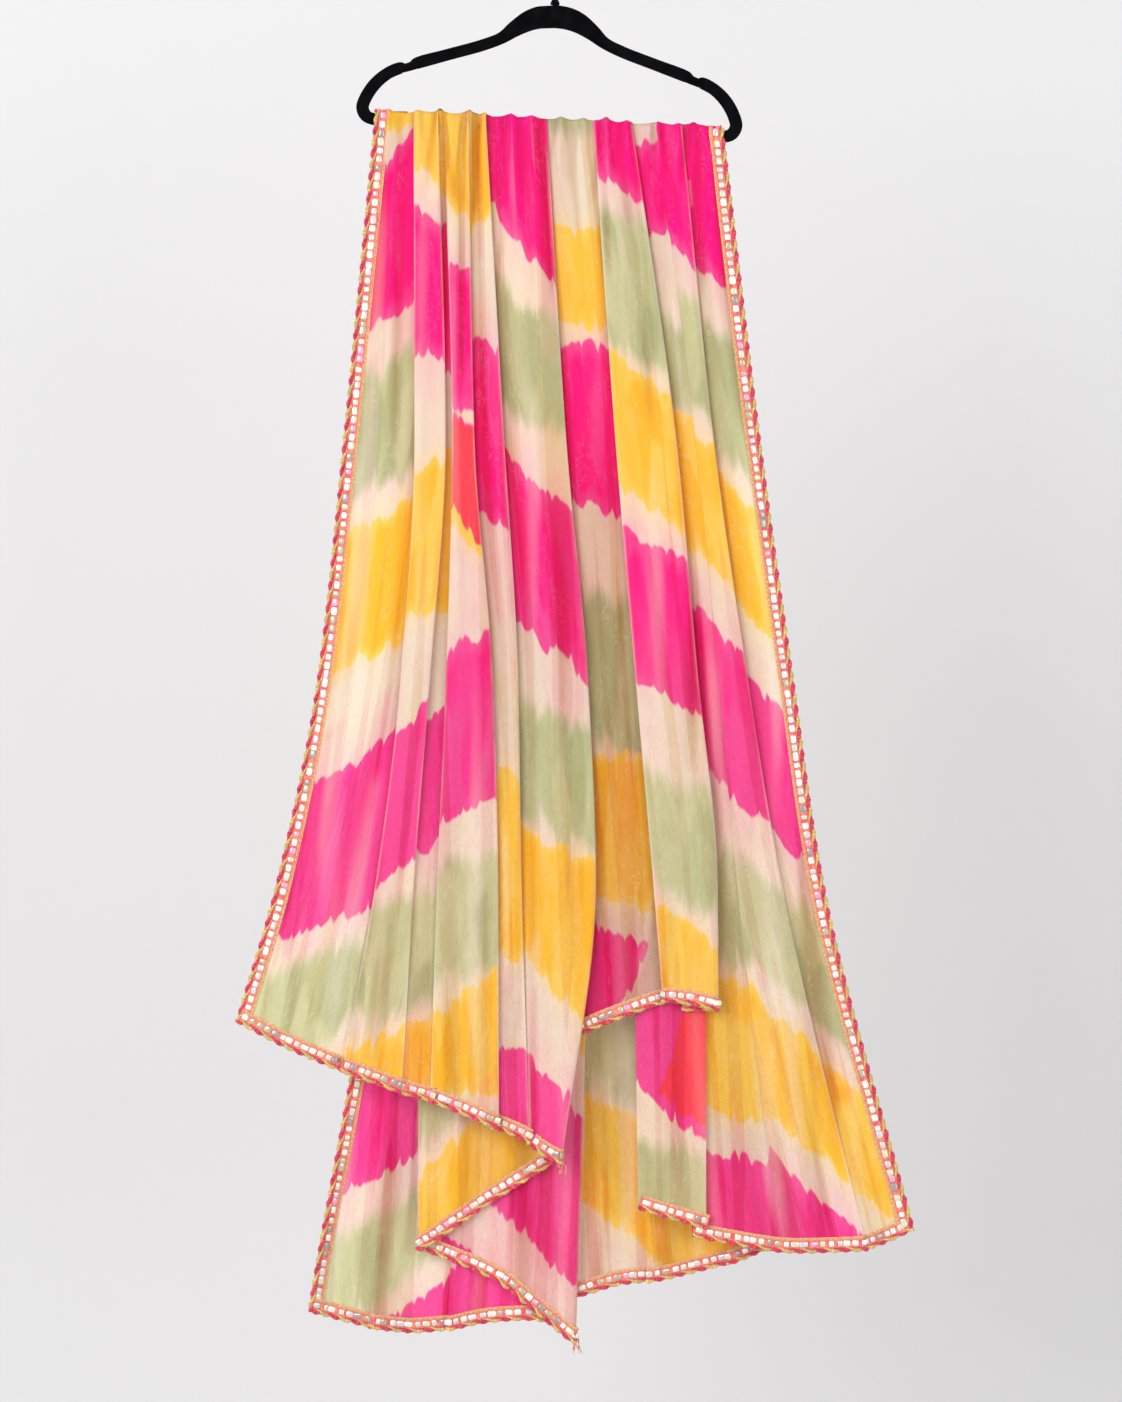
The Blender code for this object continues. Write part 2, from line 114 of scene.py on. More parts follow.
BACK_LEFT = (
    ("border", "end", -208, -198, -192, -207, -287, 1561, 0, 0, 1.2, 12, 22, 3),
    ("wave_n", "ridge", -183, -171, -166, -181, -252, 1572, 0, 0, 3.5, 17, 33, 3),
    ("fold_n", "over", -172, -158, -152, -163, -212, 1580, 8, 5, 5.6, 16, 26, 4),
    ("wave_o", "ridge", -152, -136, -128, -131, -168, 1587, 0, 0, 2.5, 19, 36, 3),
    ("fold_o", "over", -131, -112, -103, -100, -122, 1583, 7, 5, 7, 23, 33, 4),
    ("wave_p", "ridge", -112, -84, -64, -56, -75, 1574, 0, 0, 4.6, 17, 30, 3),
    ("crease_p", "ridge", -101, -52, -24, -7, -14, 1574, 0, 0, 5.6, 15, 26, 3),
    ("fold_p", "turn_right", -91, -26, 10, 35, 21, 1597, 0, 0, 5.6, 14, 24, 6),
    ("wave_q", "ridge", -94, -46, -28, -14, -27, 1561, 0, 0, 3.4, 9, 19, 6),
    ("crease_q", "ridge", -96, -72, -66, -63, -71, 1526, 0, 0, 3.4, 10, 18, 6),
    ("fold_q", "turn_left", -100, -118, -146, -159, -161, 1490, 0, 0, 3.4, 10, 17, 6),
    ("wave_r", "ridge", -60, -66, -66, -66, -78, 1436, 0, 0, 1.2, 5, 12, 6),
    ("fold_r", "end", -14, -14, 5, 23, -8, 1391, 0, 0, 1.2, 3, 8, 6),
)
BACK_RIGHT = (
    ("hidden_mid", "end", -24, -18, -2, 5, 5, 1552, 0, 0, 4.2, 20, 34, 3),
    ("wave_s", "ridge", 37, 49, 60, 69, 69, 1532, 0, 0, 3, 22, 30, 3),
    ("fold_s", "over", 60, 76, 91, 104, 108, 1527, 8, 5, 5.6, 18, 24, 4),
    ("wave_t", "ridge", 84, 99, 116, 134, 148, 1519, 0, 0, 2, 15, 26, 3),
    ("fold_t", "over", 112, 129, 151, 175, 200, 1506, 8, 5, 5.6, 15, 20, 4),
    ("wave_u", "ridge", 138, 154, 181, 210, 248, 1486, 0, 0, 2.5, 13, 22, 3),
    ("fold_u", "over", 160, 179, 210, 243, 286, 1464, 7, 4, 5.6, 13, 17, 3),
    ("border", "end", 188, 208, 241, 278, 333, 1426, 0, 0, 1.2, 8, 12, 3),
)

# Each stretch: its name, its folds, +1 in front of the bar or -1 behind it, and which of its
# two long sides carry the lace border
STRETCHES = (
    ("front_left", FRONT_LEFT, 1, ("start",)),
    ("front_middle", FRONT_MIDDLE, 1, ()),
    ("front_inner", FRONT_INNER, 1, ()),
    ("front_right", FRONT_RIGHT, 1, ("end",)),
    ("back_left", BACK_LEFT, -1, ("start",)),
    ("back_right", BACK_RIGHT, -1, ("end",)),
)

# The panel that starts at each named fold; a panel is what shows between two fold edges
PANELS = {
    "front_left": {
        "border": "a", "fold_b": "b", "fold_c": "valley_c", "fold_d": "c", "fold_e": "d",
        "fold_f": "p2", "fold_g": "p2_flange",
    },
    "front_middle": {"hidden_left": "e", "fold_i": "p4", "fold_j": "m2"},
    "front_inner": {"inner_left": "f_inner"},
    "front_right": {"hidden_right": "strip_l", "crease_l": "f", "fold_m": "g"},
    "back_left": {"border": "bd", "fold_p": "bc", "fold_q": "bb"},
    "back_right": {"hidden_mid": "be"},
}

# The dyed bands of each panel by colour, in mm below the origin: top at the panel's left and
# right edge, then end at its left and right edge
DYE = {
    "a": {
        "yellow": ((-15, -55, 224, 183), (674, 622, 837, 788), (1350, 1259, 1534, 1442)),
        "pink": ((264, 201, 438, 398), (972, 897, 1135, 1090)),
        "sage": ((490, 456, 622, 593), (1184, 1127, 1327, 1226)),
    },
    "b": {
        "yellow": ((-38, -15, 244, 263), (584, 580, 763, 749), (1259, 1231, 1465, 1419)),
        "pink": ((293, 313, 458, 463), (897, 857, 1066, 1038)),
        "sage": ((1100, 1083, 1233, 1213),),
    },
    "valley_c": {
        "yellow": ((-15, -15, 266, 272), (573, 570, 756, 752), (1231, 1222, 1419, 1408)),
        "pink": ((312, 318, 484, 490), (874, 863, 1031, 1020)),
        "sage": ((1083, 1077, 1208, 1199),),
    },
    "c": {
        "yellow": ((-15, -15, 284, 304), (541, 545, 660, 685), (1215, 1170, 1307, 1307)),
        "pink": ((362, 373, 515, 527), (536, 542, 642, 674), (802, 775, 995, 972),
                 (1356, 1345, 1534, 1522)),
        "sage": ((1048, 1029, 1183, 1151),),
    },
    "d": {
        "yellow": ((-15, -15, 327, 302), (931, 947, 1132, 1158)),
        "pink": ((444, 458, 637, 658), (1259, 1254, 1465, 1488)),
    },
    "p2": {
        "pink": ((157, 135, 268, 387), (557, 646, 749, 839), (1254, 1318, 1431, 1534)),
        "sage": ((355, 424, 506, 550), (846, 896, 986, 1036)),
        "yellow": ((999, 1038, 1130, 1222),),
    },
    "e": {
        "sage": ((100, 112, 192, 203), (733, 747, 901, 921)),
        "yellow": ((309, 318, 419, 428), (915, 926, 1066, 1100)),
        "pink": ((442, 458, 623, 648), (1112, 1146, 1316, 1087)),
    },
    "p4": {
        "pink": ((163, 180, 247, 286), (651, 703, 830, 876)),
        "sage": ((293, 313, 442, 481), (935, 967, 1054, 1109)),
        "yellow": ((449, 511, 616, 664), (1087, 1139, 1293, 1339)),
    },
    "f_inner": {
        "pink": ((226, 249, 352, 387), (834, 857, 1006, 1029), (1181, 1185, 1302, 1364)),
        "sage": ((433, 456, 570, 593), (1064, 1075, 1144, 1150), (1362, 1373, 1444, 1477)),
        "yellow": ((616, 639, 765, 788), (1373, 1155, 1287, 1348)),
    },
    "strip_l": {
        "pink": ((215, 226, 318, 330), (749, 763, 931, 949), (1373, 1385, 1499, 1511)),
        "sage": ((398, 444, 513, 525), (1020, 1031, 1139, 1155)),
        "yellow": ((525, 536, 674, 692), (1169, 1190, 1323, 1341)),
    },
    "f": {
        "pink": ((169, 169, 332, 355), (775, 807, 967, 995), (1373, 1479, 1580, 1591)),
        "sage": ((396, 405, 518, 536), (1031, 1079, 1153, 1204)),
        "yellow": ((547, 566, 699, 724), (1176, 1259, 1322, 1405)),
    },
    "g": {
        "pink": ((169, 169, 355, 394), (825, 892, 1004, 1064)),
        "sage": ((419, 458, 566, 619), (1079, 1127, 1208, 1284)),
        "yellow": ((593, 662, 747, 811), (1259, 1330, 1408, 1465)),
    },
    "bd": {
        "pink": ((-106, -278, 66, -106), (570, 398, 754, 582), (1253, 1092, 1427, 1310),
                 (1654, 1402, 1844, 1591)),
        "sage": ((123, -49, 284, 112), (811, 628, 960, 788), (1490, 1322, 1608, 1373)),
        "yellow": ((352, 180, 513, 341), (1029, 846, 1201, 1029)),
    },
    "bc": {
        "pink": ((-15, -164, 169, 20), (651, 490, 834, 662), (1345, 1184, 1532, 1356),
                 (1597, 1460, 1683, 1534)),
        "sage": ((226, 54, 375, 192), (892, 720, 1029, 857)),
        "yellow": ((444, 272, 605, 433), (1087, 915, 1270, 1087)),
    },
    "bb": {
        "pink": ((8, -129, 169, 31), (651, 502, 823, 674), (1064, 926, 1201, 1064)),
        "sage": ((226, 89, 364, 215), (880, 731, 1029, 857), (1259, 1109, 1376, 1226)),
        "yellow": ((433, 284, 593, 444), (1404, 1261, 1591, 1465)),
    },
    "be": {
        "pink": ((-83, 89, 100, 272), (605, 788, 788, 972), (926, 1006, 1064, 1155)),
        "sage": ((157, 330, 307, 479), (1121, 1270, 1293, 1419)),
        "yellow": ((387, 547, 559, 720), (1304, 1477, 1421, 1660)),
    },
}


def turned_over(panel):
    """The bands of a panel with its left and right edge swapped."""
    return {
        colour: [(top_r, top_l, end_r, end_l) for top_l, top_r, end_l, end_r in bands]
        for colour, bands in DYE[panel].items()
    }


DYE["m2"] = turned_over("p4")
DYE["p2_flange"] = turned_over("p2")
DYE["p2_flange"]["pink"][-1] = (1318, 1254, 1580, 1534)

# Soft ridges and troughs laid along the folds of each side: place across and drop of the upper
# end, of the lower end, height and half width, all in mm. A trough has a negative height.
CREASES = {
    "front": (
        (-132, 160, -128, 470, -3.4, 4), (-109, 150, -110, 560, -3.8, 4),
        (-92, 170, -98, 330, -2.6, 4), (-61, 150, -66, 400, -3.6, 4),
        (-45, 150, -40, 360, -2.6, 5), (-20, 150, -4, 420, -3.2, 4),
        (14, 160, 26, 360, -2.4, 5), (49, 150, 60, 400, -3.2, 5), (66, 160, 84, 330, -2.4, 5),
        (108, 150, 134, 420, -2.8, 5), (148, 150, 170, 420, -2.8, 5),
        (-180, 160, -184, 420, -2.4, 6), (-196, 215, -232, 900, 2.2, 9),
        (-176, 210, -190, 640, -2.6, 8), (-152, 215, -168, 1000, 2.0, 8),
        (-214, 500, -290, 1190, 2.4, 12), (-240, 620, -330, 1215, -2.2, 12),
        (-196, 900, -262, 1250, 2.6, 12), (-150, 800, -206, 1280, -2.4, 11),
        (-120, 300, -112, 900, 1.6, 7), (-96, 700, -96, 1320, 2.0, 9),
        (-72, 215, -54, 420, 2.4, 6), (-48, 215, -22, 700, 2.6, 8),
        (-36, 215, -30, 520, -2.0, 6), (-30, 560, -16, 1120, 1.8, 9),
        (2, 620, 16, 1240, -2.0, 9), (-62, 980, -54, 1240, 2.6, 6),
        (-24, 1100, -40, 1360, 2.4, 9), (52, 210, 92, 440, 2.4, 7),
        (74, 215, 118, 620, -2.0, 8), (104, 520, 132, 1120, 1.8, 9),
        (150, 700, 166, 1190, -1.8, 8), (112, 1060, 92, 1190, 2.2, 7),
        (120, 285, 152, 600, 2.2, 6), (152, 600, 214, 1200, 2.2, 8),
        (214, 1180, 250, 1480, 2.6, 12), (176, 230, 220, 620, -2.2, 8),
        (212, 500, 262, 1000, 2.2, 9), (262, 860, 330, 1440, -2.4, 12),
        (236, 1000, 292, 1470, 2.6, 12),
    ),
    "back": (
        (-190, 240, -176, 800, 2.2, 9), (-150, 240, -120, 900, -2.4, 9),
        (-196, 800, -262, 1540, 2.6, 12), (-150, 1000, -190, 1560, -2.4, 12),
        (-120, 700, -128, 1560, 2.4, 12), (-90, 240, -40, 760, 2.2, 9),
        (-40, 800, -48, 1540, -2.4, 12), (30, 240, 52, 900, 2.4, 9),
        (90, 240, 116, 900, -2.4, 9), (130, 300, 196, 1240, 2.4, 10),
        (60, 900, 84, 1500, 2.6, 12), (150, 900, 176, 1480, -2.4, 12),
        (176, 260, 232, 1300, -2.2, 10),
    ),
}

# Folds that open out almost flat at the hem, and the spacing of their layers there
SHALLOW_FOLDS = ("fold_b", "fold_c", "fold_d", "fold_f", "fold_m")
SHALLOW_PITCH = 0.8 * MM

# Panels that lie in the shade of others: drop where the shade starts and is full, its depth
SUNKEN = (
    ("e", 420, 640, 0.80),
    ("e", 1000, 1120, 0.95),
    ("f_inner", 900, 1200, 0.12),
    ("valley_c", 250, 500, 0.12),
    ("strip_l", 150, 300, 0.08),
    ("strip_l", 1000, 1110, 0.42),
    ("p2_flange", 1200, 1500, 0.15),
    ("be", 950, 1180, 0.50),
)

# The shade that a folded edge casts on the layer below, by the way the edge faces: how far it
# reaches in mm, and its depth
EDGE_SHADES = {1: (18, 0.62), -1: (9, 0.36)}

# Peaks of the cloth's crest over the bar, where the pleats are pinched: place across, height
# and half width, in mm
CREST_PEAKS = (
    (-194, 1.6, 9), (-160, 2.6, 9), (-135, 4.6, 8), (-101, 5.0, 8), (-83, 2.6, 6),
    (-54, 4.6, 8), (-30, 3.4, 8), (4, 3.2, 8), (30, 2.6, 9), (56, 4.8, 8),
    (80, 2.8, 8), (115, 3.8, 9), (138, 1.8, 7), (156, 4.0, 9), (180, 1.6, 8),
)

# Lengths in m of the broad, middle and fine waves across the cloth
BROAD_WAVE = 0.083
MIDDLE_WAVE = 0.037
FINE_WAVE = 0.0163

# Where the troughs begin to ease off, and how much deeper than this they can go
EASE_FROM = -2.6 * MM
EASE_DEPTH = 1.6 * MM

# The dye: how far apart in its pattern two panels that touch are, and the distance inside a
# band that stands for none, in m
PANEL_SHIFT = 0.37
FAR_OUT = -0.3

# Lace: fineness along it, the tape's places across it in mm and its half thickness, the cords
# as (place across, radius, tint), the twist of the cords and of the braid
TAPE_STEP = 2.5 * MM
BRAID_STEP = 1.6 * MM
TAPE_PLACES = (3.4, 5.0, 7.5, 10, 12.5, 14.5, 16.4)
TAPE_HALF = 0.7 * MM
CORDS = ((5.4, 0.6, 0.1), (13.2, 0.65, 0.15), (14.9, 0.6, 0.6), (16.4, 0.55, 0.9))
CORD_SIDES = 5
CORD_TWIST = 0.0021
BRAID_WAVE = 0.0262
BRAID_SIDES = 6
RIB_LENGTH = 0.0014

# How far up from the hem, and how many columns in from a side, the lace's lie is read
LACE_REACH = 16 * MM
LACE_COLUMNS = 5

# Mirrors: place across the tape, height of their middle over it and half lengths, in mm; the
# power that squares their outline
MIRROR_PLACE = 9.3
MIRROR_LIFT = 0.6
MIRROR_HALF_LENGTHS = (2.9, 3.6, 3.9, 4.2, 4.8)
MIRROR_SQUARE = 0.42

# Loose thread ends at the hem's two lowest corners: place across, drop and out, in mm; how
# many there are and the points along each
TUFTS = {"front_left": (5, 1386, 26), "back_left": (21, 1597, -24)}
TUFT_THREADS = 7
TUFT_POINTS = 7

# The collar of the hook, from its foot up: radius and height, in mm
COLLAR_PROFILE = (
    (4.6, -60), (5.4, -59.2), (5.2, -57.5), (3.6, -54), (3.0, -52.5), (2.2, -51.9),
)

# Colours, as linear reflectances
PINK = (1.0, 0.001, 0.235)
LIGHT_PINK = (0.92, 0.078, 0.315)
ROSE = (0.90, 0.50, 0.54)
CORAL = (0.97, 0.06, 0.09)
YELLOW = (1.0, 0.53, 0.030)
LIGHT_YELLOW = (0.99, 0.63, 0.095)
PALE_GOLD = (0.94, 0.72, 0.40)
SAGE = (0.42, 0.44, 0.20)
PALE_SAGE = (0.66, 0.63, 0.35)
CREAM = (0.87, 0.73, 0.56)
PALE_LINE = (0.98, 0.84, 0.74)
PINK_LINE = (1.0, 0.08, 0.80)
PALE_ROSE = (0.89, 0.67, 0.57)
SHADE = (0.64, 0.46, 0.34)
CLEAR_BEHIND = (0.97, 0.95, 0.92)
PINK_BEHIND = (1.0, 0.62, 0.74)
YELLOW_BEHIND = (0.96, 0.82, 0.46)
PINK_SHADE = (0.72, 0.10, 0.38)
LIT = (1.0, 0.92, 0.80)
TAPE_RED = (0.74, 0.09, 0.10)
TAPE_CORAL = (0.86, 0.26, 0.16)
TAPE_GOLD = (0.84, 0.50, 0.24)
FLOCK_DARK = (0.0015, 0.0015, 0.002)
FLOCK_WORN = (0.0045, 0.0045, 0.0055)
STEEL = (0.72, 0.72, 0.73)
WALL = (0.70, 0.70, 0.705)
AIR = (0.985, 0.99, 1.0)

# Thread colours; the first half is for tint 0 and the second for tint 1
CORD_COLOURS = ((0.84, 0.17, 0.13), (0.88, 0.24, 0.20), (0.80, 0.46, 0.18), (0.88, 0.66, 0.36))
# In the braid, the third colour of each half is a darker copy of the others: painted shade of its
# twists, spread along the thread in patches like the rest
BRAID_COLOURS_AND_SHADES = (
    (0.72, 0.012, 0.11), (0.84, 0.05, 0.10), (0.50, 0.01, 0.06), (0.85, 0.10, 0.16),
    (0.72, 0.52, 0.13), (0.84, 0.40, 0.12), (0.50, 0.46, 0.14), (0.87, 0.62, 0.24),
)

# Mirror tones, which are painted reflections, each from its share of the mirrors on
MIRROR_PAINTED_REFLECTIONS = (
    (0.0, (0.85, 0.84, 0.78)), (0.42, (0.74, 0.70, 0.54)), (0.58, (0.80, 0.38, 0.54)),
    (0.65, (0.36, 0.34, 0.32)), (0.73, (0.50, 0.47, 0.34)), (0.81, (0.68, 0.64, 0.62)),
)


def hermite(u, step, start, start_slope, end, end_slope):
    """A cubic from start to end with the given slopes, at shares u of a step."""
    return (
        start * (1 + 2 * u) * (1 - u) ** 2
        + start_slope * step * u * (1 - u) ** 2
        + end * u * u * (3 - 2 * u)
        + end_slope * step * u * u * (u - 1)
    )


def smooth_values(places, values, at):
    """A monotone cubic through (place, value) pairs, read at an array of places."""
    places = np.array(places)
    values = np.array(values, float)
    steps = np.diff(places)
    rises = np.diff(values) / steps
    slopes = np.zeros(len(places))
    slopes[0], slopes[-1] = rises[0], rises[-1]
    for index in range(1, len(rises)):
        before, after = rises[index - 1], rises[index]
        if before * after > 0:
            slopes[index] = 2 * before * after / (before + after)
    at = np.clip(at, places[0], places[-1])
    index = np.clip(np.searchsorted(places, at, side="right") - 1, 0, len(steps) - 1)
    step = steps[index]
    u = (at - places[index]) / step
    return hermite(u, step, values[index], slopes[index], values[index + 1], slopes[index + 1])


def bar_centre(x):
    """Height of the tilted bar's rounded top edge's centre at x."""
    top = -BAR_DROP * math.cos(TILT) + BAR_HEIGHT / 2 - HANGER_THICKNESS / 2
    return top - x * math.tan(TILT)


def turn(x, out, pitch, side, inward):
    """Three points round a fold's edge at x, for arrays of places."""
    flat = x - side * pitch / 2
    return [(flat, out), (x, out + inward * pitch / 2), (flat, out + inward * pitch)]


def fold_points(fold, shares):
    """The points (x, out, z) that one fold adds to the section, for each share of the fall."""
    row = dict(zip(COLUMNS, fold))
    top = bar_centre(row["bar"] * MM)
    drop = -top + shares * (row["drop"] * MM + top)
    places = (-top, *STATION_DROPS, row["drop"] * MM)
    across = [row[name] * MM for name in ("bar", "high", "middle", "low", "hem")]
    depths = (-top, DEPTH_DROP, row["drop"] * MM)
    outs = [row[name] * MM for name in ("out_bar", "out_middle", "out_hem")]
    x = smooth_values(places, across, drop)
    out = smooth_values(depths, outs, drop)
    pitch_hem = SHALLOW_PITCH if row["name"] in SHALLOW_FOLDS else row["pitch_hem"] * MM
    pitch = smooth_values(depths, (PITCH_AT_BAR, PITCH_MIDWAY, pitch_hem), drop)
    lap = (row["lap_bar"] + (row["lap_hem"] - row["lap_bar"]) * shares) * MM
    kind = row["kind"]
    if kind in ("end", "ridge"):
        points = [(x, out)]
    elif kind == "over":
        points = turn(x, out, pitch, 1, -1) + turn(x - lap, out - pitch, pitch, -1, -1)
    elif kind == "under":
        back = out - 2 * pitch
        points = turn(x + lap, back, pitch, 1, 1) + turn(x, out - pitch, pitch, -1, 1)
    elif kind == "turn_right":
        points = turn(x, out, pitch, 1, -1)
    elif kind == "turn_left":
        points = turn(x, out, pitch, -1, -1)
    else:
        points = turn(x, out, pitch, 1, -1) + [(x - lap, out - pitch * (1 + shares))]
    return [np.stack([px, po, -drop], axis=1) for px, po in points]


# For each kind of fold: how many points it adds, and at which of them the next panel starts
FOLD_POINTS = {
    "end": (1, 0), "ridge": (1, 0), "over": (6, 3), "under": (6, 3), "turn_right": (3, 1),
    "turn_left": (3, 1), "turn_end": (4, 1),
}


def panels_at(stretch, folds):
    """The panel before and after each of a stretch's control points."""
    starts = PANELS[stretch]
    before, after = [], []
    panel = starts[folds[0][0]]
    for name, kind, *_ in folds:
        new = starts.get(name, panel)
        count, switch = FOLD_POINTS[kind]
        sharp = kind in ("over", "under")
        for index in range(count):
            before.append(new if index > switch or (sharp and index == switch) else panel)
            after.append(new if index >= switch else panel)
        panel = new
    before[0] = after[0]
    return before, after


def through(points, counts):
    """Columns on a smooth curve through the control points of every row."""
    gaps = np.linalg.norm(np.diff(points, axis=1), axis=2)
    knots = np.sqrt(np.maximum(gaps, 0.05 * MM))
    slopes = np.diff(points, axis=1) / knots[:, :, None]
    tangents = np.empty_like(points)
    tangents[:, 0] = slopes[:, 0]
    tangents[:, -1] = slopes[:, -1]
    left, right = knots[:, :-1, None], knots[:, 1:, None]
    tangents[:, 1:-1] = (slopes[:, :-1] * right + slopes[:, 1:] * left) / (left + right)
    columns = [
        hermite(step / count, knots[:, k, None], points[:, k], tangents[:, k],
                points[:, k + 1], tangents[:, k + 1])
        for k, count in enumerate(counts) for step in range(count)
    ]
    columns.append(points[:, -1])
    return np.stack(columns, axis=1)


def soft_step(low, high, at):
    u = np.clip((at - low) / (high - low), 0.0, 1.0)
    return u * u * (3 - 2 * u)


def hump(away, half):
    """A smooth hump: 1 in its middle, 0.37 at its half width."""
    return np.exp(-((away / half) ** 2))


def waves(x, z, side):
    """Uneven soft waves that grow down the fall, the same for every layer at one place."""
    fall = np.clip((-z - 0.2) / 1.2, 0.0, 1.0)
    lean = (x + 0.02 * np.sin(z * 5.1 + side)) * 2 * math.pi
    broad = np.sin(lean / BROAD_WAVE + 1.9 * z + 1.3 * np.sin(z * 3.1) + side * 2.1)
    middle = np.sin(lean / MIDDLE_WAVE - 2.3 * z + 1.7 * np.sin(x * 21) + side)
    fine = np.sin(lean / FINE_WAVE + 3.7 * np.sin(z * 6.3 + x * 17))
    fine *= 0.5 + 0.5 * np.sin(z * 9.0 + x * 31)
    return fall * (1.5 * broad + 0.55 * middle) * MM + (0.05 + 0.13 * fall) * fine * MM


def creases(x, z, side):
    """The soft ridges and troughs of CREASES on this side."""
    total = np.zeros_like(x)
    for x0, drop0, x1, drop1, height, half in CREASES["front" if side > 0 else "back"]:
        along = (-z - drop0 * MM) / ((drop1 - drop0) * MM)
        middle = (x0 + (x1 - x0) * along) * MM
        ends = soft_step(0.0, 0.18, along) * (1 - soft_step(0.72, 1.0, along))
        total += ends * height * MM * hump(x - middle, half * MM)
    return total


def pinches(x, z):
    """At each peak of the crest, a ridge between two troughs that spread and fade below."""
    total = np.zeros_like(x)
    for place, height, _ in CREST_PEAKS:
        top = bar_centre(place * MM) + HANGER_THICKNESS / 2
        down = np.clip((top - z) / ((60 + 14 * height) * MM), 0.0, 1.0)
        fade = (1 - down) * min(1.1 * height, 4.6) * MM
        lean = 6 * down * math.sin(place)
        for side, share, half in ((-1, -0.8, 3.6), (0, 0.8, 3.0), (1, -0.9, 3.6)):
            middle = (place + lean + side * (4.0 + 15 * down)) * MM
            total += share * fade * hump(x - middle, (half + 4 * down) * MM)
    return total


def eased(relief):
    """Relief whose troughs run out softly below EASE_FROM, so that none is a slit."""
    past = np.minimum(relief - EASE_FROM, 0.0)
    return np.maximum(relief, EASE_FROM) + EASE_DEPTH * np.tanh(past / EASE_DEPTH)


def crest_lift(x):
    """How far the cloth stands off the bar along its crest: a low peak at each pleat."""
    lift = 1.8 + 0.5 * np.sin(x * 2 * math.pi / 0.131) + 0.3 * np.sin(x * 2 * math.pi / 0.023)
    for place, height, half in CREST_PEAKS:
        lift = lift + height * hump(x / MM - place, half)
    return lift * MM


def fold_edges():
    """Every folded edge that shows: side, which way it faces, and its x and out against z."""
    shares = np.linspace(0, 1, 60)
    found = []
    for _, folds, side, _ in STRETCHES:
        for fold in folds:
            if fold[1] in ("end", "ridge"):
                continue
            edge = fold_points(fold, shares)[4 if fold[1] == "under" else 1]
            facing = -1 if fold[1] in ("under", "turn_left") else 1
            found.append((side, facing, edge[::-1, 2], edge[::-1, 0], edge[::-1, 1]))
    return found


def edge_tones(grid, side, edges):
    """How much each point lies in a layer's shade just past its edge, and on a lit edge."""
    x, z = grid[:, :, 0], grid[:, :, 2]
    out = np.abs(grid[:, :, 1]) - HANGER_THICKNESS / 2 - BAR_CLEARANCE
    low = soft_step(0.75, 1.15, -z)
    shaded, lit = np.zeros_like(x), np.zeros_like(x)
    for edge_side, facing, edge_z, edge_x, edge_out in edges:
        if edge_side != side:
            continue
        past = (x - np.interp(z, edge_z, edge_x)) * facing
        below = np.interp(z, edge_z, edge_out) - out
        falls = z > edge_z[0] - 5 * MM
        reach, strength = EDGE_SHADES[facing]
        shade = strength * (1 - 0.8 * low)
        shade = shade * np.exp(-((np.maximum(past, 0) / (reach * MM)) ** 1.4))
        hit = (past > -4 * MM) & (below > 1.0 * MM) & falls
        shaded = np.maximum(shaded, np.where(hit, shade, 0.0))
        near = hump(past, 1.5 * MM)
        lit = np.maximum(lit, np.where((below < 3 * MM) & falls, near, 0.0))
    return shaded, lit


def cloth_grid(folds, side):
    """Points of a stretch as rows by columns, over the bar's crest and down to the hem."""
    lowest = max(fold[COLUMNS.index("drop")] for fold in folds) * MM
    fall_rows = int((lowest - BAR_DROP) / ROW_STEP)
    shares = np.concatenate([np.zeros(CREST_ROWS), np.linspace(0, 1, fall_rows)])
    crest_angles = np.linspace(0, 90, CREST_ROWS, endpoint=False)
    angles = np.concatenate([crest_angles, np.full(fall_rows, 90.0)])[:, None]
    controls = [point for fold in folds for point in fold_points(fold, shares)]
    controls = np.stack(controls, axis=1)
    hem_gaps = np.linalg.norm(np.diff(controls[-1], axis=0), axis=1)
    counts = [max(2, math.ceil(gap / COLUMN_STEP)) for gap in hem_gaps]
    grid = through(controls, counts)
    x, out, z = grid[:, :, 0], grid[:, :, 1], grid[:, :, 2]
    relief = eased(waves(x, z, side) + creases(x, z, side) + pinches(x, z))
    out = np.maximum(out + relief, 0.7 * MM)
    turned = np.radians(angles)
    base = HANGER_THICKNESS / 2 + BAR_CLEARANCE
    mix = soft_step(0.0, 75.0, angles)
    radius = base + (crest_lift(x) + 0.25 * out) * (1 - mix) + out * mix
    y = -side * radius * np.sin(turned)
    z = np.where(angles < 90, bar_centre(x) + radius * np.cos(turned), z)
    return np.stack([x, y, z], axis=2), counts, relief / MM


def column_panels(stretch, folds, counts):
    """For each column: its panel's name."""
    before, after = panels_at(stretch, folds)
    names = []
    for k, count in enumerate(counts):
        for step in range(count):
            names.append(after[k] if step < count / 2 else before[k + 1])
    return np.array(names + [before[-1]])


def dye_distances(grid, names):
    """Signed distance inside the nearest band of each colour, in metres, for every point."""
    hem = np.linalg.norm(np.diff(grid[-1], axis=0), axis=1)
    along = np.concatenate([[0.0], np.cumsum(hem)])
    drop = -grid[:, :, 2]
    found = {colour: np.full(drop.shape, FAR_OUT) for colour in ("pink", "sage", "yellow")}
    for panel in dict.fromkeys(names):
        inside = names == panel
        width = along[inside]
        share = (width - width.min()) / max(width.max() - width.min(), 1e-6)
        for colour, bands in DYE[panel].items():
            for top_l, top_r, end_l, end_r in bands:
                top = (top_l + (top_r - top_l) * share) * MM
                end = (end_l + (end_r - end_l) * share) * MM
                depth = np.minimum(drop[:, inside] - top, end - drop[:, inside])
                found[colour][:, inside] = np.maximum(found[colour][:, inside], depth)
    return found


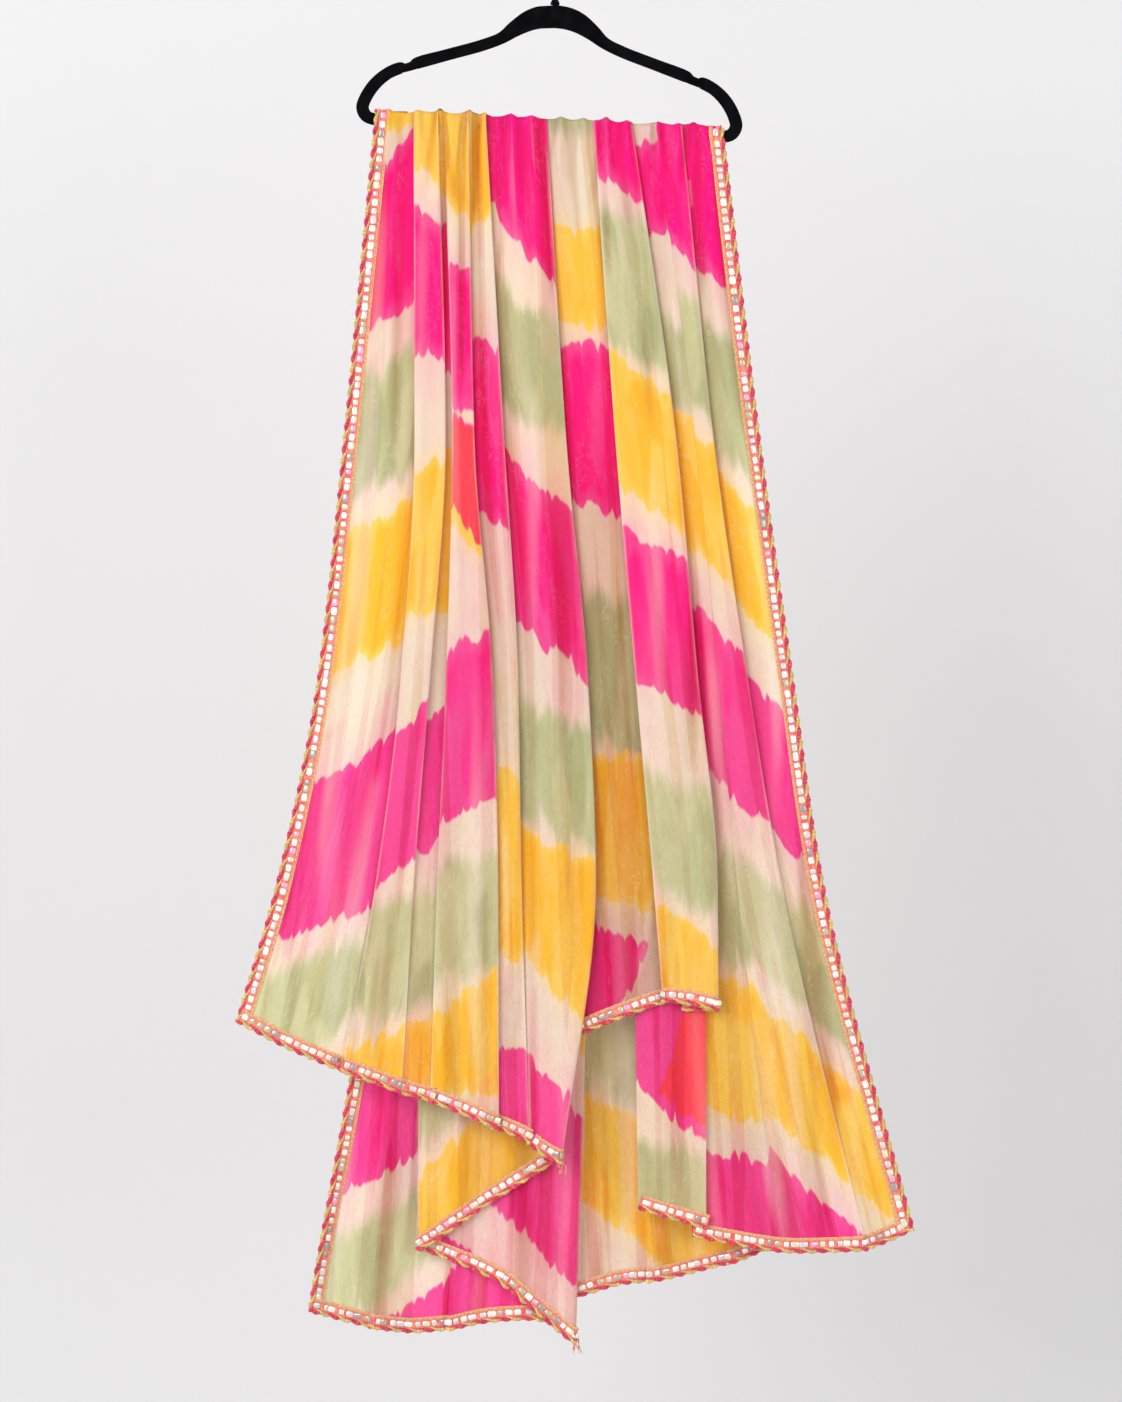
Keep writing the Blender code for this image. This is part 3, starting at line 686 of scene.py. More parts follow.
def across_places(grid, names):
    """Distance along the cloth from the middle of each panel, with a shift for each panel."""
    steps = np.linalg.norm(np.diff(grid, axis=1), axis=2)
    run = np.concatenate([np.zeros((len(grid), 1)), np.cumsum(steps, axis=1)], axis=1)
    for number, panel in enumerate(dict.fromkeys(names)):
        inside = np.flatnonzero(names == panel)
        middle = run[:, inside[len(inside) // 2]][:, None]
        run[:, inside] = run[:, inside] - middle + PANEL_SHIFT * number
    return run


def panel_shade(grid, names):
    """The standing shade of the panels that lie under others, growing down the fall."""
    drop = -grid[:, :, 2]
    shade = np.zeros_like(drop)
    for panel, start, full, depth in SUNKEN:
        inside = names == panel
        falling = depth * soft_step(start * MM, full * MM, drop[:, inside])
        shade[:, inside] = np.maximum(shade[:, inside], falling)
    return shade


def add_object(name, data):
    obj = bpy.data.objects.new(name, data)
    bpy.context.scene.collection.objects.link(obj)
    return obj


def add_mesh(name, points, faces, look):
    """A mesh object in the scene, with one material."""
    mesh = bpy.data.meshes.new(name)
    mesh.from_pydata(points, [], faces)
    mesh.materials.append(look)
    return add_object(name, mesh)


def mesh_object(name, points, faces, look, attributes=()):
    """A smooth piece of the dressed object, with values kept at its points."""
    obj = add_mesh(name, points.reshape(-1, 3).tolist(), faces, look)
    for title, kind, values in attributes:
        layer = obj.data.attributes.new(title, kind, "POINT")
        field = "vector" if kind == "FLOAT_VECTOR" else "value"
        layer.data.foreach_set(field, np.ascontiguousarray(values, np.float32).reshape(-1))
    obj.data.shade_smooth()
    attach(obj, "root")
    return obj


def grid_faces(rows, columns, flip=False, wrap=False):
    index = np.arange(rows * columns).reshape(rows, columns)
    if wrap:
        index = np.concatenate([index, index[:, :1]], axis=1)
    quads = np.stack([index[:-1, :-1], index[:-1, 1:], index[1:, 1:], index[1:, :-1]], axis=2)
    quads = quads.reshape(-1, 4)
    return (quads[:, ::-1] if flip else quads).tolist()


def tube_faces(rows, columns, flip=False):
    """Faces of rings joined into a tube and capped at both ends."""
    ends = [list(range(columns)), list(range((rows - 1) * columns, rows * columns))]
    ends[0 if flip else 1].reverse()
    return grid_faces(rows, columns, wrap=True) + ends


# Lace --------------------------------------------------------------------------------------

def resample(path, step, *others):
    """The path and what goes with it at equal steps along it."""
    run = np.concatenate([[0.0], np.cumsum(np.linalg.norm(np.diff(path, axis=0), axis=1))])
    at = np.linspace(0, run[-1], max(2, int(round(run[-1] / step)) + 1))
    made = [
        np.stack([np.interp(at, run, values[:, axis]) for axis in range(3)], axis=1)
        for values in (path, *others)
    ]
    return at, made


def unit(vectors):
    return vectors / np.maximum(np.linalg.norm(vectors, axis=-1, keepdims=True), 1e-9)


def lace_paths(grid, laced):
    """The outer edges that carry lace, as (path, direction into the cloth)."""
    rows_up = int(round(LACE_REACH / ROW_STEP))
    found = [(grid[-1], unit(grid[-1 - rows_up] - grid[-1]))]
    for end in laced:
        first, inner = (0, LACE_COLUMNS) if end == "start" else (-1, -1 - LACE_COLUMNS)
        found.append((grid[:, first], unit(grid[:, inner] - grid[:, first])))
    return found


def lace_frame(path, inward, step):
    """The path at equal steps, with its directions along, inward and out of the cloth."""
    at, (path, inward) = resample(path, step, inward)
    along = unit(np.gradient(path, axis=0))
    inward = unit(inward - along * np.sum(inward * along, axis=1, keepdims=True))
    return at, path, along, inward, np.cross(along, inward)


def sweep(path, inward, normal, profile):
    """A closed profile of (inward, normal) places carried along a path, capped at both ends."""
    profile = np.array(profile)
    if profile.ndim == 2:
        profile = np.repeat(profile[None], len(path), axis=0)
    points = (
        path[:, None]
        + inward[:, None] * profile[:, :, :1]
        + normal[:, None] * profile[:, :, 1:]
    )
    return points.reshape(-1, 3), tube_faces(*points.shape[:2])


def join(parts):
    """(points, faces, values) of several meshes as one."""
    points, faces, values = [], [], []
    start = 0
    for part_points, part_faces, part_values in parts:
        points.append(part_points)
        values.append(part_values)
        faces.extend([[corner + start for corner in face] for face in part_faces])
        start += len(part_points)
    return np.concatenate(points), faces, np.concatenate(values)


def circle(radius, middle, sides):
    turns = np.arange(sides) * 2 * math.pi / sides
    return np.stack(
        [middle[0] + radius * np.cos(turns), middle[1] + radius * np.sin(turns)], axis=1
    )


def thread_values(spots, sides, tint):
    """Place along the thread and tint (one number or one a side) for each ring's points."""
    spots = np.repeat(spots, sides)
    tints = np.resize(np.array(tint, float), len(spots))
    return np.stack([spots, tints, np.zeros_like(spots)], axis=1)


def tape(path, inward, normal, at):
    """The woven tape: flat, with its gold part along the inner edge."""
    places = np.array(TAPE_PLACES) * MM
    profile = [(place, TAPE_HALF) for place in places]
    profile += [(place, -TAPE_HALF) for place in places[::-1]]
    points, faces = sweep(path, inward, normal, profile)
    depths = [place for place, _ in profile]
    return points, faces, thread_values(at, len(profile), depths)


def cords(path, inward, normal, at):
    """Thin twisted cords along the tape, on both faces."""
    made = []
    for place, radius, tint in CORDS:
        for face in (0.75, -0.75):
            ripple = 0.12 * MM * np.sin(at * 2 * math.pi / CORD_TWIST)
            ring = circle(radius * MM, (place * MM, face * MM), CORD_SIDES)
            ring = np.stack([ring] * len(at), axis=0)
            ring[:, :, 1] += (ripple * np.sign(face))[:, None]
            made.append((*sweep(path, inward, normal, ring), thread_values(at, CORD_SIDES, tint)))
    return join(made)


def braid(path, inward, normal, at, seed):
    """Two strands twisted round each other along the outer edge."""
    made = []
    for strand in (0, 1):
        turned = at * 2 * math.pi / BRAID_WAVE + strand * math.pi + seed
        size = (1.65 + 0.65 * np.sin(turned)) * MM
        ring = circle(1.0, (0, 0), BRAID_SIDES)[None] * size[:, None, None]
        ring[:, :, 0] += (2.7 * MM - 1.8 * MM * np.sin(turned))[:, None]
        ring[:, :, 1] += (1.4 * MM * np.cos(turned))[:, None]
        values = thread_values(at + seed, BRAID_SIDES, strand)
        made.append((*sweep(path, inward, normal, ring), values))
    return join(made)


def tuft(stretch):
    """A few short loose threads hanging from a corner of the hem."""
    x, drop, out = TUFTS[stretch]
    rng = random.Random(drop)
    steps = np.linspace(0, 1, TUFT_POINTS)[:, None]
    inward = np.tile([1.0, 0.0, 0.0], (TUFT_POINTS, 1))
    normal = np.tile([0.0, 1.0, 0.0], (TUFT_POINTS, 1))
    made = []
    for number in range(TUFT_THREADS):
        spread = rng.uniform(-7, 7)
        length = rng.uniform(6, 13)
        start = np.array([[x + 0.3 * spread, -out, -drop + 5.0]])
        end = np.array([[x + spread, -out + rng.uniform(-2, 2), -drop - length]])
        path = (start + (end - start) * steps) * MM
        path[:, 0] += 1.2 * MM * np.sin(steps[:, 0] * 5 + number)
        swept = sweep(path, inward, normal, circle(0.5 * MM, (0, 0), CORD_SIDES))
        spots = steps[:, 0] * length * MM + number
        made.append((*swept, thread_values(spots, CORD_SIDES, number * 0.14)))
    return join(made)


def mirror_shape():
    """One sewn mirror: a rounded square plate with a sloped rim, as (points, faces)."""
    corners = 12
    turns = (np.arange(corners) + 0.5) * 2 * math.pi / corners
    sides = np.stack([np.cos(turns), np.sin(turns)], axis=1)
    square = np.sign(sides) * np.abs(sides) ** MIRROR_SQUARE
    rings = [
        np.column_stack([square * scale, np.full(corners, lift * MM)])
        for scale, lift in ((1.0, 0.0), (1.0, 0.45), (0.86, 0.75))
    ]
    faces = grid_faces(3, corners, wrap=True)
    faces.append(list(range(2 * corners, 3 * corners)))
    return np.concatenate(rings), faces


def mirrors(at, path, along, inward, normal, seed):
    """Mirrors in a row along the tape, on both faces, each a little out of line."""
    shape, shape_faces = mirror_shape()
    rng = random.Random(seed)
    made = []
    place = 7 * MM
    while place < at[-1] - 5 * MM:
        index = min(int(np.searchsorted(at, place)), len(at) - 1)
        long = rng.choice(MIRROR_HALF_LENGTHS) * rng.uniform(0.93, 1.07) * MM
        wide = rng.uniform(2.9, 3.5) * MM
        twist = rng.uniform(-0.10, 0.10)
        # Which painted reflection tone this mirror shows
        tint = rng.random()
        lean_a, lean_b = rng.uniform(-0.06, 0.06), rng.uniform(-0.08, 0.08)
        a = along[index] * math.cos(twist) + inward[index] * math.sin(twist)
        b = inward[index] * math.cos(twist) - along[index] * math.sin(twist)
        for face in (1, -1):
            middle = path[index] + inward[index] * MIRROR_PLACE * MM
            middle = middle + normal[index] * face * MIRROR_LIFT * MM
            up = normal[index] * face + a * lean_a + b * lean_b
            points = (
                middle
                + shape[:, :1] * a * long
                + shape[:, 1:2] * b * wide
                + shape[:, 2:] * up
            )
            faces = shape_faces if face < 0 else [corners[::-1] for corners in shape_faces]
            values = np.tile([tint, place, 0.0], (len(points), 1))
            made.append((points, faces, values))
        place += long + rng.uniform(5.4, 7.2) * MM
    return join(made)


def make_lace(stretch, grid, laced, looks):
    """All the lace of one stretch, as joined pieces by kind."""
    parts = {"tape": [], "cords": [], "braid": [], "mirrors": []}
    for number, (edge, into) in enumerate(lace_paths(grid, laced)):
        seed = sum(map(ord, stretch)) + number
        at, path, along, inward, normal = lace_frame(edge, into, TAPE_STEP)
        parts["tape"].append(tape(path, inward, normal, at))
        parts["cords"].append(cords(path, inward, normal, at))
        parts["mirrors"].append(mirrors(at, path, along, inward, normal, seed))
        at, path, along, inward, normal = lace_frame(edge, into, BRAID_STEP)
        parts["braid"].append(braid(path, inward, normal, at, seed))
    if stretch in TUFTS:
        parts["braid"].append(tuft(stretch))
    pieces = []
    for title, made in parts.items():
        points, faces, values = join(made)
        pieces.append(mesh_object(
            "lace_" + title + "_" + stretch, points, faces, looks[title],
            [("thread", "FLOAT_VECTOR", values)],
        ))
    nodes = ["lace_hem_" + stretch]
    if laced:
        nodes.append("lace_edge_" + stretch)
    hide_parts(*nodes)
    return pieces


# Materials ---------------------------------------------------------------------------------

class Nodes:
    """Short calls for building a material's node tree."""

    def __init__(self, name):
        self.material = bpy.data.materials.new(name)
        self.material.use_nodes = True
        self.tree = self.material.node_tree
        self.tree.nodes.clear()
        self.output = self.tree.nodes.new("ShaderNodeOutputMaterial")

    def add(self, kind, values=(), **settings):
        """A new node's outputs, once its settings and inputs are given."""
        node = self.tree.nodes.new("ShaderNode" + kind)
        for name, value in settings.items():
            setattr(node, name, value)
        for key, value in dict(values).items():
            socket = node.inputs[key]
            if isinstance(value, bpy.types.NodeSocket):
                self.tree.links.new(value, socket)
            else:
                socket.default_value = (*value, 1.0) if socket.type == "RGBA" else value
        return node.outputs

    def math(self, operation, a, b=0.0):
        return self.add("Math", {0: a, 1: b}, operation=operation)[0]

    def times(self, a, b):
        return self.math("MULTIPLY", a, b)

    def plus(self, a, b):
        return self.math("ADD", a, b)

    def remap(self, value, low, high, out_low=0.0, out_high=1.0, kind="SMOOTHSTEP"):
        values = {"Value": value, "From Min": low, "From Max": high,
                  "To Min": out_low, "To Max": out_high}
        return self.add("MapRange", values, interpolation_type=kind)[0]

    def mix(self, share, a, b, blend="MIX"):
        values = {0: share, 6: a, 7: b}
        return self.add("Mix", values, data_type="RGBA", blend_type=blend)[2]

    def near(self, value, middle, reach):
        """1 where a value is at the middle, falling to 0 at the reach on both sides."""
        away = self.math("ABSOLUTE", self.math("SUBTRACT", value, middle))
        return self.remap(away, 0.0, reach, 1.0, 0.0)

    def attribute(self, name, output="Fac"):
        return self.add("Attribute", attribute_name=name)[output]

    def scaled(self, vector, scale):
        return self.add("VectorMath", {0: vector, 1: scale}, operation="MULTIPLY")[0]

    def noise(self, vector, scale, detail=2.0, rough=0.5):
        values = {"Vector": vector, "Scale": scale, "Detail": detail, "Roughness": rough}
        return self.add("TexNoise", values)[0]

    def long_noise(self, place, across, down, detail=2.0, rough=0.5):
        """Noise with its own number of spots a metre across the cloth and down it."""
        return self.noise(self.scaled(place, (across, down, 1.0)), 1.0, detail, rough)

    def bump(self, height, distance, strength, before=None):
        values = {"Height": height, "Distance": distance, "Strength": strength}
        if before is not None:
            values["Normal"] = before
        return self.add("Bump", values)[0]

    def bands(self, value, stops):
        """Plain colours, each from its own place of the value on."""
        node = self.tree.nodes.new("ShaderNodeValToRGB")
        self.tree.links.new(value, node.inputs[0])
        node.color_ramp.interpolation = "CONSTANT"
        elements = node.color_ramp.elements
        elements[0].color = (*stops[0][1], 1)
        elements[1].position, elements[1].color = stops[1][0], (*stops[1][1], 1)
        for place, colour in stops[2:]:
            elements.new(place).color = (*colour, 1)
        return node.outputs[0]

    def done(self, shader):
        self.tree.links.new(shader, self.output.inputs[0])
        return self.material

    def surface(self, values):
        """The finished material, with one shader for its whole surface."""
        return self.done(self.add("BsdfPrincipled", values)[0])


def petals(n, place, across, down, randomness):
    """Long rounded cells: the distance from each cell's middle, squared."""
    values = {"Vector": n.scaled(place, (across, down, 1.0)), "Scale": 1.0,
              "Randomness": randomness}
    cell = n.add("TexVoronoi", values, voronoi_dimensions="2D")["Distance"]
    return n.times(cell, cell)


def bent_place(n, place):
    """The place on the cloth, with a slight waver across."""
    warp = n.remap(n.long_noise(place, 34.0, 6.0), 0.3, 0.7, -0.005, 0.005)
    shift = n.add("CombineXYZ", {0: warp})[0]
    return n.add("VectorMath", {0: place, 1: shift}, operation="ADD")[0]


def dye_depths(n, bent, cloud):
    """Depth inside the pink, yellow and sage dye, whose ends run out in soft fingers."""
    large = n.times(petals(n, bent, 84.0, 4.8, 0.8), 3.3)
    small = n.times(petals(n, bent, 210.0, 15.0, 0.9), 1.4)
    lobes = n.math("SUBTRACT", 1.0, n.plus(large, n.times(small, 0.30)))
    drift = n.remap(cloud, 0.3, 0.7, -1.0, 1.0, "LINEAR")
    reach = n.plus(n.times(lobes, 0.008), n.times(drift, 0.008))
    return (
        n.plus(n.attribute("pink"), reach),
        n.plus(n.attribute("yellow"), reach),
        n.plus(n.attribute("sage"), n.times(reach, 1.3)),
    )


def brush_marks(n, bent, wash):
    """Long uneven patches, as the dye takes in one stroke more than in the next."""
    values = {"Vector": n.scaled(bent, (46.0, 8.0, 1.0)), "Scale": 1.0, "Smoothness": 0.35}
    cells = n.add("TexVoronoi", values, voronoi_dimensions="2D", feature="SMOOTH_F1")["Color"]
    cells = n.add("SeparateColor", {0: cells})[0]
    return n.plus(n.times(cells, 0.55), n.times(wash, 0.45))


def dyed_colour(n, depths, cloud, mottle, low):
    """The bands over the cream ground, with how much pink there is at each point."""
    pink, yellow, sage = depths
    colour = n.mix(n.remap(cloud, 0.38, 0.68), CREAM, PALE_ROSE)
    halo = n.times(n.remap(pink, -0.075, -0.001), n.remap(cloud, 0.28, 0.62))
    colour = n.mix(n.times(halo, 0.62), colour, ROSE)
    colour = n.mix(n.times(n.remap(yellow, -0.030, -0.001), 0.55), colour, PALE_GOLD)
    green = n.mix(n.remap(n.plus(mottle, n.times(low, 0.11)), 0.12, 0.92), SAGE, PALE_SAGE)
    sage_in = n.times(n.remap(sage, -0.014, 0.016), n.remap(mottle, 0.0, 0.5, 0.88, 1.0))
    colour = n.mix(sage_in, colour, green)
    gold = n.mix(n.remap(mottle, 0.3, 0.75), YELLOW, LIGHT_YELLOW)
    gold = n.mix(n.remap(yellow, 0.0, 0.020), LIGHT_YELLOW, gold)
    yellow_in = n.remap(yellow, -0.003, 0.003)
    colour = n.mix(yellow_in, colour, gold)
    lighter = n.plus(n.times(low, 0.48), n.times(mottle, 0.75))
    deep = n.mix(n.remap(lighter, 0.35, 0.95), PINK, LIGHT_PINK)
    deep = n.mix(n.remap(pink, 0.0, 0.026), LIGHT_PINK, deep)
    pink_in = n.remap(pink, -0.0025, 0.0025)
    colour = n.mix(pink_in, colour, deep)
    return n.mix(n.times(pink_in, yellow_in), colour, CORAL), pink_in


def fine_lines(n, colour, bent, cloud, pink_in):
    """Thin pale lines where the dye runs along a thread."""
    line = n.times(n.near(n.long_noise(bent, 75.0, 2.6), 0.5, 0.03), n.remap(cloud, 0.42, 0.6))
    line_colour = n.mix(1.0, colour, n.mix(pink_in, PALE_LINE, PINK_LINE), "MULTIPLY")
    return n.mix(n.times(line, 0.55), colour, line_colour)


def layer_behind(n, colour, place, depths, doubled):
    """A faint tint of the layer behind, where the cloth lies double."""
    across, height = n.add("SeparateXYZ", {0: place})[:2]
    behind = n.math("SINE", n.plus(n.times(height, 15.0), n.times(across, 11.0)))
    tint = n.mix(n.remap(behind, 0.25, 0.50), CLEAR_BEHIND, PINK_BEHIND)
    tint = n.mix(n.remap(behind, -0.25, -0.50), tint, YELLOW_BEHIND)
    pink, _, sage = depths
    showing = n.times(doubled, n.remap(pink, -0.01, 0.01, 0.28, 0.14))
    showing = n.times(showing, n.remap(sage, -0.01, 0.01, 1.0, 0.45))
    return n.mix(showing, colour, n.mix(1.0, colour, tint, "MULTIPLY"))


def shade_and_shine(n, colour, pink, pink_in, height, cloud, doubled, crinkle_light_and_shade):
    """Painted shade in the folds and in the pink's crinkle lines, deeper colour where the cloth
    is double; painted highlight on ridges, edges and crinkle lines.
    """
    relief = n.attribute("relief")
    sunk = n.plus(n.attribute("shaded"), n.remap(relief, -0.2, -3.4))
    shade = n.times(sunk, n.remap(height, 0.20, 0.45, 0.46, 0.72))
    layers = n.times(doubled, n.remap(pink, -0.01, 0.01, 0.14, 0.34))
    # Painted shade in the pink's crinkle lines, growing lower down the fall
    crinkle_shade = n.times(n.times(crinkle_light_and_shade, pink_in), n.remap(height, 0.5, 1.1, 0.0, 0.45))
    shade = n.plus(shade, n.plus(layers, crinkle_shade))
    darker = n.mix(1.0, colour, n.mix(pink_in, SHADE, PINK_SHADE), "MULTIPLY")
    colour = n.mix(n.math("MINIMUM", shade, 1.0), colour, darker)
    shine = n.plus(
        n.times(n.attribute("lit"), n.remap(cloud, 0.3, 0.65, 0.05, 0.5)),
        n.remap(relief, 0.3, 3.6, 0.0, 0.22),
    )
    colour = n.mix(shine, colour, LIT)
    # Painted highlight on the crinkle lines, faint in the pink
    return n.mix(n.times(crinkle_light_and_shade, n.remap(pink, -0.01, 0.01, 0.16, 0.045)), colour, LIT)


def chiffon():
    """Sheer crinkled chiffon with dyed bands, its layers, shade, shine and fine creases."""
    n = Nodes("chiffon")
    place = n.attribute("place", "Vector")
    bent = bent_place(n, place)
    height = n.add("SeparateXYZ", {0: place})[1]
    low = n.remap(height, 0.25, 1.05)
    cloud = n.long_noise(place, 17.0, 6.5, 3.0, 0.6)
    wash = n.long_noise(bent, 52.0, 11.0, 3.0, 0.6)
    depths = dye_depths(n, bent, cloud)
    mottle = brush_marks(n, bent, wash)
    colour, pink_in = dyed_colour(n, depths, cloud, mottle, low)
    colour = fine_lines(n, colour, bent, cloud, pink_in)
    doubled = n.long_noise(place, 40.0, 0.9, 1.0)
    doubled = n.plus(n.remap(doubled, 0.505, 0.522), n.remap(doubled, 0.60, 0.615))
    colour = layer_behind(n, colour, place, depths, doubled)
    values = {"Vector": n.scaled(place, (70.0, 34.0, 1.0)), "Scale": 1.0, "Detail": 2.0,
              "Distortion": 2.2}
    veins = n.near(n.add("TexNoise", values)[0], 0.5, 0.045)
    # Crinkle lines where the wash allows: painted shade in the pink, painted highlight elsewhere
    crinkle_light_and_shade = n.times(veins, n.remap(wash, 0.42, 0.62))
    colour = shade_and_shine(n, colour, depths[0], pink_in, height, cloud, doubled, crinkle_light_and_shade)
    normal = n.bump(n.times(veins, n.remap(height, 0.4, 1.1, 0.5, 1.7)), 0.0004, 0.55)
    normal = n.bump(n.long_noise(place, 2600.0, 2600.0, 0.0), 0.0002, 0.3, normal)
    front = n.add("BsdfPrincipled", {
        "Base Color": colour, "Roughness": 0.62, "Specular IOR Level": 0.2,
        "Sheen Weight": 0.05, "Sheen Roughness": 0.4, "Normal": normal,
    })[0]
    through_light = n.add("BsdfTranslucent", {"Color": colour, "Normal": normal})[0]
    return n.done(n.add("MixShader", {0: 0.30, 1: front, 2: through_light})[0])


def thread_look(name, colours, scale):
    """Thread whose colour changes along it; the first half of the colours are for tint 0."""
    n = Nodes(name)
    thread = n.attribute("thread", "Vector")
    along, tint = n.add("SeparateXYZ", {0: thread})[:2]
    values = {"W": n.plus(n.times(along, scale), tint), "Detail": 1.0}
    patch = n.add("TexNoise", values, noise_dimensions="1D")[0]
    patch = n.remap(patch, 0.25, 0.75, 0.0, 0.499, "LINEAR")
    value = n.plus(patch, n.times(tint, 0.5))
    stops = [(index / len(colours), colour) for index, colour in enumerate(colours)]
    values = {"Vector": n.scaled(thread, (1.0, 40.0, 1.0)), "Scale": 330.0, "Distortion": 1.0}
    twist = n.add("TexWave", values)["Fac"]
    return n.surface({
        "Base Color": n.bands(value, stops), "Roughness": 0.6, "Sheen Weight": 0.2,
        "Normal": n.bump(twist, 0.0004, 0.7),
    })


def tape_look():
    """Coral woven tape with fine ribs across it and gold thread near its inner edge."""
    n = Nodes("lace_tape")
    thread = n.attribute("thread", "Vector")
    along, depth = n.add("SeparateXYZ", {0: thread})[:2]
    ribs = n.math("SINE", n.times(along, 2 * math.pi / RIB_LENGTH))
    blotch = n.noise(n.scaled(thread, (160.0, 160.0, 1.0)), 1.0)
    colour = n.mix(n.remap(blotch, 0.38, 0.62), TAPE_RED, TAPE_CORAL)
    return n.surface({
        "Base Color": n.mix(n.remap(depth, 0.0138, 0.0142), colour, TAPE_GOLD),
        "Roughness": 0.55, "Sheen Weight": 0.2, "Normal": n.bump(ribs, 0.0003, 0.6),
    })


def mirror_look():
    """Small mirrors whose tones are painted reflections: most bright, a few dull green, grey or
    pink.
    """
    n = Nodes("lace_mirror")
    tint = n.add("SeparateXYZ", {0: n.attribute("thread", "Vector")})[0]
    wear = n.noise(n.add("TexCoord")["Object"], 900.0)
    return n.surface({
        "Base Color": n.bands(tint, MIRROR_PAINTED_REFLECTIONS), "Metallic": 0.35,
        "Roughness": n.remap(wear, 0.3, 0.8, 0.12, 0.35), "Specular IOR Level": 0.6,
    })


def flock_look():
    """Black velvet flock: short fibres, almost no gloss, a thin pale sheen at the edges."""
    n = Nodes("black_flock")
    where = n.add("TexCoord")["Object"]
    nap = n.noise(where, 2400.0, 2.0, 0.7)
    patches = n.noise(where, 60.0, 3.0)
    return n.surface({
        "Base Color": n.mix(n.remap(patches, 0.3, 0.8), FLOCK_DARK, FLOCK_WORN),
        "Roughness": 0.95, "Specular IOR Level": 0.05, "Sheen Weight": 0.02,
        "Sheen Roughness": 0.35, "Normal": n.bump(nap, 0.0004, 0.8),
    })


def steel_look():
    n = Nodes("hook_steel")
    where = n.add("TexCoord")["Object"]
    scuffs = n.noise(n.scaled(where, (600.0, 600.0, 90.0)), 1.0, 3.0)
    return n.surface({
        "Base Color": STEEL, "Metallic": 1.0,
        "Roughness": n.remap(scuffs, 0.3, 0.8, 0.16, 0.32),
        "Normal": n.bump(scuffs, 0.00005, 0.3),
    })


# Hanger ------------------------------------------------------------------------------------

def hanger_loop():
    """The hanger's whole centreline as (x, z, width), with the bar between its ends."""
    half = [(x * MM, -drop * MM, width * MM) for x, drop, width in HANGER_HALF]
    left = [(-x, z, width) for x, z, width in reversed(half[1:])]
    bar = [(half[-1][0] * step, half[-1][1], half[-1][2]) for step in (0.6, 0.2, -0.2, -0.6)]
    return np.array(half + bar + left)


def tilted(points):
    """Points turned with the hanger about the hook."""
    turned = points.copy()
    turned[:, 0] = points[:, 0] * math.cos(TILT) + points[:, 2] * math.sin(TILT)
    turned[:, 2] = -points[:, 0] * math.sin(TILT) + points[:, 2] * math.cos(TILT)
    return turned


def make_hanger(look):
    """The flocked body: the loop smoothed, with a rounded section."""
    loop = hanger_loop()
    lap, steps = 3, 10
    closed = np.concatenate([loop[-lap:], loop, loop[:lap]])[None]
    fine = through(closed, [steps] * (closed.shape[1] - 1))[0][lap * steps:-lap * steps - 1]
    tangent = unit((np.roll(fine, -1, axis=0) - np.roll(fine, 1, axis=0))[:, :2])
    outward = np.stack([-tangent[:, 1], tangent[:, 0]], axis=1)
    sides = 28
    edge = HANGER_THICKNESS / 2
    cosine, sine = circle(1.0, (0, 0), sides).T
    rings = []
    for (x, z, width), (out_x, out_z) in zip(fine, outward):
        across = edge * cosine + (width / 2 - edge) * np.tanh(4 * cosine)
        rings.append(np.stack([x + out_x * across, edge * sine, z + out_z * across], axis=1))
    faces = grid_faces(len(rings), sides, wrap=True)
    last = (len(rings) - 1) * sides
    for side in range(sides):
        other = (side + 1) % sides
        faces.append([last + side, last + other, other, side])
    body = mesh_object("hanger_flocked", tilted(np.concatenate(rings)), faces, look)
    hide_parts("hanger_body")


def make_collar(look):
    """The flocked cone at the hook's foot, turned about the hook's axis and a little flat."""
    sides = 40
    ring = circle(1.0, (0, 0), sides) * (1.0, 0.45)
    rings = [
        np.column_stack([ring * radius * MM, np.full(sides, height * MM)])
        for radius, height in COLLAR_PROFILE
    ]
    faces = tube_faces(len(rings), sides, flip=True)
    collar = mesh_object("hook_cone", tilted(np.concatenate(rings)), faces, look)
    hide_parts("hook_collar")


def make_hook(look):
    """The steel wire hook: its stem, its round and a short straight end, with a soft tip."""
    centre = -HOOK_RADIUS + HOOK_WIRE / 2
    foot = -CROWN_DROP + COLLAR_HEIGHT + 0.6 * MM
    route = [(0.0, foot), (0.2 * MM, foot + 2 * MM)]
    for turned in np.radians(np.arange(-60, 181, 5)):
        route.append((HOOK_RADIUS * math.cos(turned), centre + HOOK_RADIUS * math.sin(turned)))
    route.append((-HOOK_RADIUS - 0.6 * MM, centre - 4 * MM))
    route.append((-HOOK_RADIUS - 1.5 * MM, centre - 9 * MM))
    _, (path,) = resample(np.array([(x, 0.0, z) for x, z in route]), 0.8 * MM)
    along = unit(np.gradient(path, axis=0))
    normal = np.tile([0.0, 1.0, 0.0], (len(path), 1))
    radius = np.full(len(path), HOOK_WIRE / 2)
    radius[-3:] *= (0.96, 0.85, 0.55)
    ring = circle(1.0, (0, 0), 20)[None] * radius[:, None, None]
    points, faces = sweep(path, np.cross(along, normal), normal, ring)
    hook = mesh_object("hook_wire", tilted(points), faces, look)
    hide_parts("hook")


# Studio ------------------------------------------------------------------------------------

